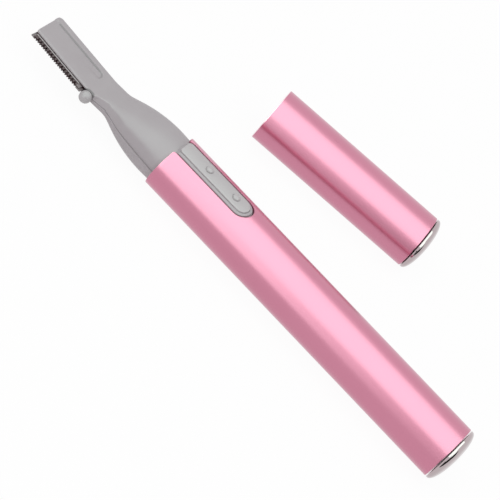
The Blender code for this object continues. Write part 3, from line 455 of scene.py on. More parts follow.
def moulded_grain() -> Tree:
    """Fine spark-eroded skin of a moulding, with slow patches of gloss.

    Returns:
        The group.
    """
    made = GroupMaker(
        "moulded_grain",
        {"Grain": 9000.0, "Depth": 0.4, "Gloss": 0.45, "Patches": 0.05},
        {"Height": VALUE, "Roughness": VALUE, "Tone": VALUE},
    )
    fine = made.noise(made.spot, "Grain", GRAIN_LAYERS)
    slow = made.noise(made.spot, MOULD_PATCHES, SLOW_LAYERS)
    made.put("Height", made.maths("MULTIPLY", fine, made.given("Depth")))
    swing = made.maths("MULTIPLY", made.maths("SUBTRACT", slow, MIDDLE), made.given("Patches"))
    made.put("Roughness", made.maths("ADD", made.given("Gloss"), swing))
    made.put("Tone", slow)
    return made.tree


def drawn_lines() -> Tree:
    """Fine lines that drawing or brushing leaves along X on metal.

    Returns:
        The group.
    """
    made = GroupMaker(
        "drawn_lines",
        {"Lines": 1.0, "Depth": 0.3, "Gloss": 0.3, "Spread": 0.08},
        {"Height": VALUE, "Roughness": VALUE, "Tone": VALUE},
    )
    line = made.noise(made.stretched(LINE_STRETCH), "Lines", LINE_LAYERS)
    slow = made.noise(made.spot, METAL_PATCHES, SLOW_LAYERS)
    made.put("Height", made.maths("MULTIPLY", line, made.given("Depth")))
    most = made.maths("MULTIPLY", line, LINE_SHARE)
    both = made.maths("ADD", most, made.maths("MULTIPLY", slow, 1.0 - LINE_SHARE))
    swing = made.maths("MULTIPLY", made.maths("SUBTRACT", both, MIDDLE), made.given("Spread"))
    made.put("Roughness", made.maths("ADD", made.given("Gloss"), swing))
    made.put("Tone", both)
    return made.tree


def worn_edge() -> Tree:
    """Mask of the edges that a mesh marks, broken up a little.

    Returns:
        The group.
    """
    made = GroupMaker("worn_edge", {"Amount": 1.0, "Breaks": 1400.0}, {"Mask": VALUE})
    marked = made.attribute("edge")
    broken = made.noise(made.spot, "Breaks", SLOW_LAYERS)
    rough = made.maths("ADD", made.maths("MULTIPLY", broken, BREAK_DEPTH), BREAK_BASE)
    worn = made.maths("MULTIPLY", marked, rough)
    made.put("Mask", made.maths("MULTIPLY", worn, made.given("Amount"), True))
    return made.tree


def deep_shade() -> Tree:
    """Mask of the painted shade that a mesh marks, in narrow places where shade falls.

    Returns:
        The group.
    """
    made = GroupMaker("deep_shade", {"Amount": 1.0}, {"Mask": VALUE})
    made.put("Mask", made.maths("MULTIPLY", made.attribute("shade"), made.given("Amount"), True))
    return made.tree


class Paintbox:
    """Every material of the trimmer, made once from the shared node groups."""

    def __init__(self) -> None:
        """Build the shared groups."""
        self.grain = moulded_grain()
        self.lines = drawn_lines()
        self.edge = worn_edge()
        self.shade = deep_shade()

    @staticmethod
    def begin(name: str) -> tuple[Look, Shader]:
        """Start a material.

        Args:
            name: Name of the material.

        Returns:
            The material and its shader.
        """
        look = bpy.data.materials.new(name)
        look.use_nodes = True
        return look, look.node_tree.nodes["Principled BSDF"]

    @staticmethod
    def place(look: Look, group: Tree, values: dict[str, float]) -> bpy.types.ShaderNodeGroup:
        """Place a shared group in a material.

        Args:
            look: The material.
            group: The shared group.
            values: The material's own values of the group's inputs.

        Returns:
            The placed group.
        """
        node = look.node_tree.nodes.new("ShaderNodeGroup")
        node.node_tree = group
        for label, value in values.items():
            node.inputs[label].default_value = value
        return node

    @staticmethod
    def blend(look: Look, mask: Socket, base: Socket | Triple, over: Triple) -> Socket:
        """Blend a colour over another.

        Args:
            look: The material.
            mask: How much of the second colour shows.
            base: The first colour, or a socket that gives it.
            over: The second colour.

        Returns:
            The blended colour.
        """
        node = look.node_tree.nodes.new("ShaderNodeMix")
        node.data_type = "RGBA"
        look.node_tree.links.new(mask, node.inputs["Factor"])
        if isinstance(base, Socket):
            look.node_tree.links.new(base, node.inputs[MIX_BASE])
        else:
            node.inputs[MIX_BASE].default_value = (*base, 1.0)
        node.inputs[MIX_OVER].default_value = (*over, 1.0)
        return node.outputs[MIX_RESULT]

    @staticmethod
    def bump(look: Look, shader: Shader, height: Socket, distance: float) -> None:
        """Feed a height to the shader's normal.

        Args:
            look: The material.
            shader: Its shader.
            height: The height over the surface.
            distance: How high a height of 1 stands, in metres.
        """
        node = look.node_tree.nodes.new("ShaderNodeBump")
        node.inputs["Distance"].default_value = distance
        look.node_tree.links.new(height, node.inputs["Height"])
        look.node_tree.links.new(node.outputs["Normal"], shader.inputs["Normal"])


@dataclass(frozen=True)
class Finish:
    """What every finish has: two close tones, a gloss, marks of wear, and a painted shade mark."""

    name: str
    colour: Triple
    pale: Triple
    gloss: float
    coat: float = 0.0
    edge_colour: Triple | None = None
    painted_shade_colour: Triple | None = None

    def tone(self, look: Look, box: Paintbox, pattern: Socket) -> tuple[Socket, Socket | None]:
        """Blend the two tones, with the worn edges and the painted shade over them.

        Args:
            look: The material.
            box: The paintbox with the shared groups.
            pattern: The mask of the paler tone.

        Returns:
            The colour, and the painted shade's mask where the finish has painted shade.
        """
        tone = box.blend(look, pattern, self.colour, self.pale)
        if self.edge_colour:
            edge = box.place(look, box.edge, {})
            tone = box.blend(look, edge.outputs["Mask"], tone, self.edge_colour)
        if not self.painted_shade_colour:
            return tone, None
        # Painted shade: where the mesh marks shade, the colour turns dark to stand in for the shade there.
        painted_shade = box.place(look, box.shade, {}).outputs["Mask"]
        return box.blend(look, painted_shade, tone, self.painted_shade_colour), painted_shade


@dataclass(frozen=True)
class Metal(Finish):
    """A drawn, brushed or polished metal."""

    metal: float = 1.0
    spread: float = 0.08
    depth: float = 0.3
    bump: float = 0.000004
    coat_gloss: float = 0.2

    def build(self, box: Paintbox) -> Look:
        """Make the material.

        Args:
            box: The paintbox with the shared groups.

        Returns:
            The material.
        """
        look, shader = box.begin(self.name)
        links = look.node_tree.links
        values = {"Gloss": self.gloss, "Spread": self.spread, "Depth": self.depth}
        lines = box.place(look, box.lines, values)
        tone, painted_shade = self.tone(look, box, lines.outputs["Tone"])
        shader.inputs["Metallic"].default_value = self.metal
        # Painted shade also takes the metal's shine away where the shade mask is marked.
        if painted_shade:
            unshaded_metal = look.node_tree.nodes.new("ShaderNodeMath")
            unshaded_metal.operation = "SUBTRACT"
            unshaded_metal.inputs[0].default_value = self.metal
            unshaded_metal.use_clamp = True
            links.new(painted_shade, unshaded_metal.inputs[1])
            links.new(unshaded_metal.outputs["Value"], shader.inputs["Metallic"])
        links.new(tone, shader.inputs["Base Color"])
        links.new(lines.outputs["Roughness"], shader.inputs["Roughness"])
        shader.inputs["Coat Weight"].default_value = self.coat
        shader.inputs["Coat Roughness"].default_value = self.coat_gloss
        box.bump(look, shader, lines.outputs["Height"], self.bump)
        return look


@dataclass(frozen=True)
class Plastic(Finish):
    """A moulded plastic, rubber or printed wrap."""

    patches: float = 0.06
    grain: float = 9000.0
    depth: float = 0.4
    bump: float = 0.00001

    def build(self, box: Paintbox) -> Look:
        """Make the material.

        Args:
            box: The paintbox with the shared groups.

        Returns:
            The material.
        """
        look, shader = box.begin(self.name)
        links = look.node_tree.links
        values = {"Gloss": self.gloss, "Patches": self.patches, "Grain": self.grain, "Depth": self.depth}
        skin = box.place(look, box.grain, values)
        links.new(self.tone(look, box, skin.outputs["Tone"])[0], shader.inputs["Base Color"])
        links.new(skin.outputs["Roughness"], shader.inputs["Roughness"])
        shader.inputs["Coat Weight"].default_value = self.coat
        box.bump(look, shader, skin.outputs["Height"], self.bump)
        return look


FINISHES: dict[Slot, Metal | Plastic] = {
    Slot.PINK: Metal(
        "anodised_pink",
        (0.565, 0.214, 0.306),
        (0.595, 0.233, 0.328),
        gloss=0.29,
        coat=0.12,
        coat_gloss=0.30,
        edge_colour=(0.86, 0.62, 0.68),
    ),
    Slot.CHROME: Metal(
        "polished_chrome", (0.46, 0.39, 0.40), (0.50, 0.43, 0.44), gloss=0.07, spread=0.02, depth=0.03
    ),
    Slot.GREY: Plastic(
        "grey_moulding",
        (0.395, 0.360, 0.378),
        (0.425, 0.390, 0.408),
        gloss=0.46,
        # painted shade colour of the step beside the raised band and round the knob's foot
        painted_shade_colour=(0.12, 0.11, 0.115),
    ),
    Slot.PALE: Plastic("pale_moulding", (0.43, 0.41, 0.42), (0.46, 0.44, 0.45), gloss=0.36),
    Slot.WHITE: Plastic("white_moulding", (0.72, 0.72, 0.70), (0.77, 0.77, 0.75), gloss=0.42),
    Slot.BLACK: Plastic("black_moulding", (0.025, 0.025, 0.027), (0.035, 0.035, 0.036), gloss=0.48),
    Slot.RUBBER: Plastic(
        "soft_rubber", (0.035, 0.035, 0.036), (0.055, 0.055, 0.056), gloss=0.78, depth=0.7
    ),
    Slot.BLADE: Metal(
        "ground_steel",
        (0.66, 0.63, 0.63),
        (0.78, 0.75, 0.75),
        gloss=0.30,
        metal=0.35,
        spread=0.12,
        # painted shade colour of the blade's teeth, gaps, toothless ends and the slit under the plate
        painted_shade_colour=(0.040, 0.011, 0.015),
    ),
    Slot.MOTOR: Metal("plated_can", (0.55, 0.55, 0.53), (0.64, 0.64, 0.62), gloss=0.34),
    Slot.BRASS: Metal("stamped_brass", (0.66, 0.46, 0.19), (0.76, 0.57, 0.28), gloss=0.28, spread=0.12),
    Slot.CELL: Plastic("cell_wrap", (0.05, 0.12, 0.15), (0.07, 0.15, 0.19), gloss=0.30, coat=0.4),
}
# Painted light: a paler copy of the grey moulding for the thumb slide, standing in for the brighter light
# on the strip.
LIT_SLIDE_FINISH = Plastic(
    "slide_moulding_painted_light",
    (0.49, 0.465, 0.475),
    (0.52, 0.495, 0.505),
    gloss=0.42,
    # painted shade colour round the foot of the bumps
    painted_shade_colour=(0.12, 0.11, 0.115),
)


def smooth_step(low: float, high: float, value: float) -> float:
    """Ease from 0 where a value is at low to 1 where it is at high."""
    share = min(max((value - low) / (high - low), 0.0), 1.0)
    return share * share * (3.0 - 2.0 * share)


def rounding(inset: float, radius: float) -> float:
    """Measure a rounded edge.

    Args:
        inset: Distance in from the side.
        radius: The edge's radius.

    Returns:
        How far it lies below its face there.
    """
    if inset >= radius:
        return 0.0
    return radius - math.sqrt(max(radius * radius - (radius - inset) ** 2, 0.0))


def between(table: Sequence[tuple[float, ...]], place: float) -> list[float]:
    """Read a table with straight lines between its rows.

    Args:
        table: Rows whose first column is a place that falls from row to row.
        place: Where it is read.

    Returns:
        The other columns there.
    """
    if place >= table[0][0]:
        return list(table[0][1:])
    for before, after in zip(table, table[1:]):
        if place >= after[0]:
            share = (before[0] - place) / (before[0] - after[0])
            return [a + (b - a) * share for a, b in zip(before[1:], after[1:])]
    return list(table[-1][1:])


def even_points(dense: Sequence[Vector], count: int) -> list[Vector]:
    """Place points at even steps along a closed line.

    Args:
        dense: The line's own points, far closer together.
        count: How many points to place.

    Returns:
        The even points.
    """
    loop = [*dense, dense[0]]
    lengths = [0.0]
    for first, second in zip(loop, loop[1:]):
        lengths.append(lengths[-1] + (second - first).length)
    points = []
    index = 0
    for step in range(count):
        wanted = lengths[-1] * step / count
        while lengths[index + 1] < wanted:
            index += 1
        span = max(lengths[index + 1] - lengths[index], LEAST_SPAN)
        points.append(loop[index].lerp(loop[index + 1], (wanted - lengths[index]) / span))
    return points


def boxed(turn: float, power: float) -> Pair:
    """Find a point of a unit oval that grows boxier as its power rises above 2."""
    across = math.copysign(abs(math.cos(turn)) ** (2 / power), math.cos(turn))
    return across, math.copysign(abs(math.sin(turn)) ** (2 / power), math.sin(turn))


def raised(outline: Plan, height: float) -> list[Vector]:
    """Set a plan outline at a height."""
    return [Vector((x, y, height)) for x, y in outline]


class Workshop:
    """Turns outlines and rings into finished meshes, set down on the frame."""

    def __init__(self, mouth_x: float, axis_z: float, looks: dict[Slot, Look]) -> None:
        """Keep where the drawing's origin lies on the frame, and the materials.

        Args:
            mouth_x: X of the handle sleeve's front rim.
            axis_z: Height of the tube's axis.
            looks: The material of each slot.
        """
        self.place = Matrix.Translation((mouth_x, 0.0, axis_z))
        self.looks = looks

    @staticmethod
    def add(name: str, bm: bmesh.types.BMesh, turn_out: bool = True) -> Piece:
        """Turn a bmesh into an object.

        Args:
            name: Name of the piece.
            bm: The mesh, which is freed.
            turn_out: Make its faces point out.

        Returns:
            The new piece.
        """
        if turn_out:
            bmesh.ops.recalc_face_normals(bm, faces=bm.faces)
        mesh = bpy.data.meshes.new(name)
        bm.to_mesh(mesh)
        bm.free()
        piece = bpy.data.objects.new(name, mesh)
        bpy.context.scene.collection.objects.link(piece)
        return piece

    def loft(self, name: str, rings: Sequence[Sequence[Vector]]) -> Piece:
        """Skin a row of rings and close its two ends.

        Args:
            name: Name of the piece.
            rings: Closed rings of as many points each.

        Returns:
            The new piece.
        """
        bm = bmesh.new()
        rows = [[bm.verts.new(point) for point in ring] for ring in rings]
        for first, second in zip(rows, rows[1:]):
            count = len(first)
            for index in range(count):
                after = (index + 1) % count
                bm.faces.new((first[index], first[after], second[after], second[index]))
        bm.faces.new(rows[0])
        bm.faces.new(rows[-1])
        return self.add(name, bm)

    def prism(self, name: str, outline: Plan, low: float, high: float) -> Piece:
        """Raise a plan outline from one height to another."""
        return self.loft(name, [raised(outline, low), raised(outline, high)])

    def block(self, name: str, low: Triple, high: Triple) -> Piece:
        """Make a square-edged solid between its lowest and its highest corner."""
        outline = [(low[0], low[1]), (high[0], low[1]), (high[0], high[1]), (low[0], high[1])]
        return self.prism(name, outline, low[2], high[2])

    def slab(
        self, name: str, loops: Sequence[tuple[float, Plan]], low: HeightField, high: HeightField
    ) -> Piece:
        """Close the space between two curved faces over nested plan outlines.

        Args:
            name: Name of the piece.
            loops: Outlines from the rim inwards, each with its distance from the rim.
            low: Height of the lower face at x, y and distance from the rim.
            high: Height of the upper face, read the same way.

        Returns:
            The new piece.
        """
        bm = bmesh.new()
        faces = []
        for field in (high, low):
            faces.append(
                [[bm.verts.new((x, y, field(x, y, inset))) for x, y in plan] for inset, plan in loops]
            )
        count = len(loops[0][1])
        for rows in faces:
            for outer, inner in zip(rows, rows[1:]):
                for index in range(count):
                    after = (index + 1) % count
                    bm.faces.new((outer[index], outer[after], inner[after], inner[index]))
            last = rows[-1]
            for index in range(count // 2 - 1):
                bm.faces.new((last[index], last[index + 1], last[-index - 2], last[-index - 1]))
        top, bottom = faces[0][0], faces[1][0]
        for index in range(count):
            after = (index + 1) % count
            bm.faces.new((top[index], top[after], bottom[after], bottom[index]))
        return self.add(name, bm)

    @staticmethod
    def carve(piece: Piece, tool: Piece, operation: Operation, keep: bool = False) -> None:
        """Apply an exact Boolean to a piece.

        Args:
            piece: The piece that changes.
            tool: The other solid.
            operation: What the tool does.
            keep: Leave the tool for a later cut.
        """
        change = piece.modifiers.new("carve", "BOOLEAN")
        change.operation = operation.value
        change.solver = "EXACT"
        change.object = tool
        Workshop.bake(piece)
        if not keep:
            bpy.data.objects.remove(tool, do_unlink=True)

    @staticmethod
    def bake(piece: Piece) -> None:
        """Turn a piece's modifiers into its mesh.

        Args:
            piece: The piece that changes.
        """
        bpy.context.view_layer.update()
        graph = bpy.context.evaluated_depsgraph_get()
        mesh = bpy.data.meshes.new_from_object(piece.evaluated_get(graph))
        piece.modifiers.clear()
        piece.data = mesh

    @staticmethod
    def soften(piece: Piece, width: float, segments: int = 2, angle: float = 40.0) -> None:
        """Round the sharp edges of a piece.

        Args:
            piece: The piece that changes.
            width: How far the rounding reaches.
            segments: Its steps.
            angle: Edges sharper than this many degrees are rounded.
        """
        change = piece.modifiers.new("edge", "BEVEL")
        change.width = width
        change.segments = segments
        change.limit_method = "ANGLE"
        change.angle_limit = math.radians(angle)
        Workshop.bake(piece)

    @staticmethod
    def score(piece: Piece, spot: Vector, normal: Vector) -> None:
        """Divide a piece's faces along a plane, so that its two sides can be marked apart.

        Args:
            piece: The piece that changes.
            spot: A point of the plane.
            normal: The plane's direction.
        """
        bm = bmesh.new()
        bm.from_mesh(piece.data)
        parts = [*bm.verts, *bm.edges, *bm.faces]
        bmesh.ops.bisect_plane(bm, geom=parts, dist=SLACK, plane_co=spot, plane_no=normal)
        bm.to_mesh(piece.data)
        bm.free()

    @staticmethod
    def mark(
        piece: Piece, name: str, rule: Callable[[Vector, Vector], float], smooth: bool = False
    ) -> None:
        """Store a value on each face, or on each point so that it fades from one to the next.

        Args:
            piece: The piece, still in the drawing's coordinates.
            name: Name of the value that a material reads.
            rule: Gives the value for a place and its normal.
            smooth: Store it on the points.
        """
        mesh = piece.data
        store = mesh.attributes.new(name, "FLOAT", "POINT" if smooth else "FACE")
        if smooth:
            values = [rule(point.co, point.normal) for point in mesh.vertices]
        else:
            values = [rule(face.center, face.normal) for face in mesh.polygons]
        store.data.foreach_set("value", values)

    def hand_over(
        self,
        piece: Piece,
        body: Body,
        slot: Slot,
        nodes: Sequence[str] = (),
        crease: float = 40.0,
        look: Look | None = None,
    ) -> None:
        """Set a finished piece down on the frame, with its finish and its body.

        Args:
            piece: The piece in the drawing's coordinates.
            body: The body that it rides on.
            slot: The record's slot of its finish.
            nodes: The frame's nodes that it stands for.
            crease: Edges sharper than this many degrees stay sharp.
            look: Its material, where it isn't the slot's own.
        """
        mesh = piece.data
        mesh.transform(self.place)
        mesh.materials.clear()
        mesh.materials.append(look or self.looks[slot])
        mesh.shade_smooth()
        mesh.set_sharp_from_angle(angle=math.radians(crease))
        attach(piece, body.value)
        if nodes:
            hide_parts(*nodes)
        LOG.info("%s: %d faces, rides on %s", piece.name, len(mesh.polygons), body.value)


@dataclass(frozen=True)
class Tube:
    """The oval tube that the handle and the cap are cut from."""

    width: float = 0.0176
    depth: float = 0.0140
    wall: float = 0.0007
    fit: float = 0.0002
    core_wall: float = 0.0009
    slot_half: float = 0.0037
    slot_end: float = 0.0242
    points: int = 144
    rim_edge: float = 0.00013
    crown_limit: float = 0.999

    @property
    def half_width(self) -> float:
        """Half of the outer width."""
        return self.width / 2

    @property
    def half_depth(self) -> float:
        """Half of the outer depth."""
        return self.depth / 2

    @property
    def core_width(self) -> float:
        """Half width of what slides inside the tube."""
        return self.half_width - self.wall - self.fit

    @property
    def core_depth(self) -> float:
        """Half depth of what slides inside the tube."""
        return self.half_depth - self.wall - self.fit

    def ring(self, x: float, half_width: float, half_depth: float) -> list[Vector]:
        """Place points round an oval section across X.

        Args:
            x: Place along the tube.
            half_width: Half of its width.
            half_depth: Half of its depth.

        Returns:
            The points, from the side over the top.
        """
        ring = []
        for index in range(self.points):
            turn = (index + 0.5) * math.tau / self.points
            ring.append(Vector((x, half_width * math.cos(turn), half_depth * math.sin(turn))))
        return ring

    def crown(self, y: float, rise: float) -> float:
        """Height over Y of an oval that stands a little outside the housing."""
        share = min(abs(y) / (self.core_width + rise), self.crown_limit)
        return (self.core_depth + rise) * math.sqrt(1.0 - share * share)


@dataclass(frozen=True)
class SleeveShell:
    """A thin oval sleeve with rounded rims, and with a slot open at its front if it has one."""

    tube: Tube
    length: float
    slot_half: float = 0.0
    slot_end: float = 0.0
    corner: float = 0.0006
    run_out: float = 0.0030
    slot_rows: int = 26
    round_rows: int = 7
    plain_rows: int = 22
    arc_columns: int = 22
    corner_columns: int = 5
    arc_slack: float = 0.01
    rim_angle: float = 50.0
    rim_reach: float = 1.2
    rim_facing: float = -0.25

    def turns(self) -> list[float]:
        """Place the columns round the section, closer together beside the slot.

        Returns:
            Their angles.
        """
        count = self.tube.points
        plain = [index * math.tau / count for index in range(count)]
        if not self.slot_half:
            return plain
        half = self.tube.half_width
        beside = [
            self.slot_half + self.corner * (1.0 - math.cos(math.pi / 2 * step / self.corner_columns))
            for step in range(self.corner_columns + 1)
        ]
        inside = [
            self.slot_half * math.cos(math.pi * step / self.arc_columns)
            for step in range(1, self.arc_columns)
        ]
        low = math.acos(beside[-1] / half) - self.arc_slack
        high = math.acos(-beside[-1] / half) + self.arc_slack
        close = [math.acos(y / half) for y in [*beside, *inside, *[-y for y in beside]]]
        return sorted([turn for turn in plain if not low < turn < high] + close)

    def build(self, shop: Workshop, name: str) -> Piece:
        """Make the sleeve from its outer face, then give it its wall and its rims.

        Args:
            shop: The workshop.
            name: Name of the piece.

        Returns:
            The new piece, along X from zero.
        """
        tube = self.tube
        bm = bmesh.new()
        columns = []
        for turn in self.turns():
            y = tube.half_width * math.cos(turn)
            z = tube.half_depth * math.sin(turn)
            columns.append([bm.verts.new((x, y, z)) if x is not None else None for x in self.places(y, z)])
        for left, right in zip(columns, [*columns[1:], columns[0]]):
            for index in range(len(left) - 1):
                corners = (left[index], right[index], right[index + 1], left[index + 1])
                if all(corners):
                    bm.faces.new(corners)
        for face in bm.faces:
            face.normal_update()
            middle = face.calc_center_median()
            if face.normal.dot(Vector((0.0, middle.y, middle.z))) < 0:
                face.normal_flip()
        piece = shop.add(name, bm, turn_out=False)
        wall = piece.modifiers.new("wall", "SOLIDIFY")
        wall.thickness = tube.wall
        wall.offset = -1.0
        wall.use_even_offset = True
        shop.bake(piece)
        shop.soften(piece, tube.rim_edge, angle=self.rim_angle)
        shop.mark(piece, "edge", self.rim_wear)
        return piece

    def rim_wear(self, centre: Vector, normal: Vector) -> float:
        """Mark the faces of the front rim."""
        return float(centre.x < self.tube.rim_edge * self.rim_reach and normal.x < self.rim_facing)

    def places(self, y: float, z: float) -> list[float | None]:
        """Return the X of each row at a point of the section, with None where the slot is open.

        Args:
            y: Place across the tube.
            z: Height from the axis.

        Returns:
            One place for each row.
        """
        rows: list[float | None] = []
        straight = self.slot_end - self.slot_half
        after = self.slot_end + self.run_out
        if self.slot_half:
            across = abs(y)
            open_here = z > 0.0 and across < self.slot_half - SLACK
            beside = z > 0.0 and across < self.slot_half + self.corner
            start = rounding(max(across - self.slot_half, 0.0), self.corner) if beside else 0.0
            for index in range(self.slot_rows):
                share = index / self.slot_rows
                rows.append(None if open_here else start + (straight - start) * share)
            first = straight
            if open_here:
                first += math.sqrt(max(self.slot_half**2 - y * y, 0.0))
            for index in range(self.round_rows):
                rows.append(first + (after - first) * index / self.round_rows)
        else:
            after = 0.0
        left = self.length - after
        plain = [after + left * index / self.plain_rows for index in range(self.plain_rows + 1)]
        guard = self.tube.rim_edge * 2
        return [*rows, plain[0], plain[0] + guard, *plain[1:-1], plain[-1] - guard, plain[-1]]


@dataclass(frozen=True)
class EndPlate:
    """The bright plate that closes a tube: a rim, a rounded shoulder and a shallow dome."""

    tube: Tube
    rise: float = 0.0025
    rim: float = 0.0004
    gap: float = 0.0003
    shoulder: float = 2.25
    rings: int = 30
    least: float = 0.02

    def build(self, shop: Workshop, name: str, start: float) -> Piece:
        """Make the plate.

        Args:
            shop: The workshop.
            name: Name of the piece.
            start: X of the tube's end.

        Returns:
            The new piece.
        """
        tube = self.tube
        base = start + self.gap
        chamfer = self.rim / 4
        rings = [
            tube.ring(base, tube.half_width - chamfer, tube.half_depth - chamfer),
            tube.ring(base + chamfer, tube.half_width, tube.half_depth),
        ]
        for index in range(self.rings + 1):
            share = math.cos(math.pi / 2 * index / self.rings * (1.0 - self.least))
            height = self.rim + (self.rise - self.rim) * math.sqrt(1.0 - share**self.shoulder)
            rings.append(tube.ring(base + height, tube.half_width * share, tube.half_depth * share))
        return shop.loft(name, rings)


@dataclass(frozen=True)
class Handle:
    """The pink handle tube and its bright end."""

    tube: Tube

    def build(self, shop: Workshop, length: float) -> None:
        """Make the tube and the plate.

        Args:
            shop: The workshop.
            length: Length of the tube.
        """
        shell = SleeveShell(self.tube, length, self.tube.slot_half, self.tube.slot_end)
        sleeve = shell.build(shop, "handle_tube")
        shop.hand_over(sleeve, Body.SLEEVE, Slot.PINK, ["handle_sleeve"])
        plate = EndPlate(self.tube).build(shop, "handle_end_dome", length)
        shop.hand_over(plate, Body.SLEEVE, Slot.CHROME, ["handle_end_plate"])


@dataclass(frozen=True)
class Cap:
    """The pull-off cap, lying beside the handle."""

    tube: Tube
    length: float = 0.0502
    forward: float = 0.0055
    aside: float = 0.0419
    yaw: float = math.radians(8.15)

    def build(self, shop: Workshop) -> None:
        """Make the cap's tube and plate.

        Args:
            shop: The workshop.
        """
        lay = Matrix.Translation((self.forward, self.aside, 0.0)) @ Matrix.Rotation(self.yaw, 4, "Z")
        sleeve = SleeveShell(self.tube, self.length).build(shop, "cap_tube")
        sleeve.data.transform(lay)
        shop.hand_over(sleeve, Body.CAP, Slot.PINK, ["cap_sleeve"])
        plate = EndPlate(self.tube).build(shop, "cap_end_dome", self.length)
        plate.data.transform(lay)
        shop.hand_over(plate, Body.CAP, Slot.CHROME, ["cap_end_plate"])


@dataclass(frozen=True)
class Plate:
    """The flat front of the head, drawn along and across its own slightly turned direction."""

    root: float = 0.0237
    yaw: float = math.radians(5.3)
    length: float = 0.0216
    width: float = 0.0100
    aside: float = 0.0003
    depth: float = 0.0024
    slant: float = 0.0011
    tip_radius: float = 0.0013
    tip_small_radius: float = 0.0005
    edge: float = 0.0003
    floor: float = 0.0005
    spine: float = 0.0020
    pocket: float = 0.0010
    dish_depth: float = 0.00034
    dish_root: float = 0.0028
    dish_corner: float = 0.0016
    dish_step: float = 0.00026
    dish_side: float = -0.0045
    dish_run: float = 0.0060
    dish_power: int = 6
    lower_start: float = 0.0030
    comb_reach: float = 0.0013
    comb_back: float = 0.0043

    @property
    def near(self) -> float:
        """The edge over the teeth."""
        return -self.width / 2 - self.aside

    @property
    def far(self) -> float:
        """The edge away from the teeth."""
        return self.width / 2 - self.aside

    @property
    def spine_edge(self) -> float:
        """The line between the dish and the raised band."""
        return self.far - self.spine

    @property
    def level(self) -> float:
        """Height of the blade bed's roof."""
        return self.depth / 2 - self.floor

    def out(self, x: float, y: float) -> Pair:
        """Turn a place on the plate to the trimmer's directions."""
        cosine, sine = math.cos(self.yaw), math.sin(self.yaw)
        return (x * cosine + y * sine - self.root, -x * sine + y * cosine)

    def back(self, x: float, y: float) -> Pair:
        """Turn a place on the trimmer to the plate's directions."""
        cosine, sine = math.cos(self.yaw), math.sin(self.yaw)
        return ((x + self.root) * cosine - y * sine, (x + self.root) * sine + y * cosine)

    def plan(self, points: Plan) -> Plan:
        """Turn a whole outline to the trimmer's directions."""
        return [self.out(x, y) for x, y in points]

    def dish(self, x: float, y: float) -> float:
        """Measure how far the plate's face is sunk.

        Args:
            x: Place along the plate.
            y: Place across it.

        Returns:
            The depth there.
        """
        along = x + self.dish_root
        across = y - self.spine_edge
        corner = self.dish_corner
        if along > -corner and across > -corner:
            outside = math.hypot(along + corner, across + corner) - corner
        else:
            outside = max(along, across)
        step = smooth_step(0.0, self.dish_step, -outside)
        fall = smooth_step(self.dish_side, self.spine_edge, y)
        root_fade = smooth_step(0.0, self.dish_run, -along)
        by_corner = smooth_step(self.spine_edge - corner * 2, self.spine_edge - corner, y)
        return self.dish_depth * step * fall * (root_fade + (1.0 - root_fade) * by_corner)


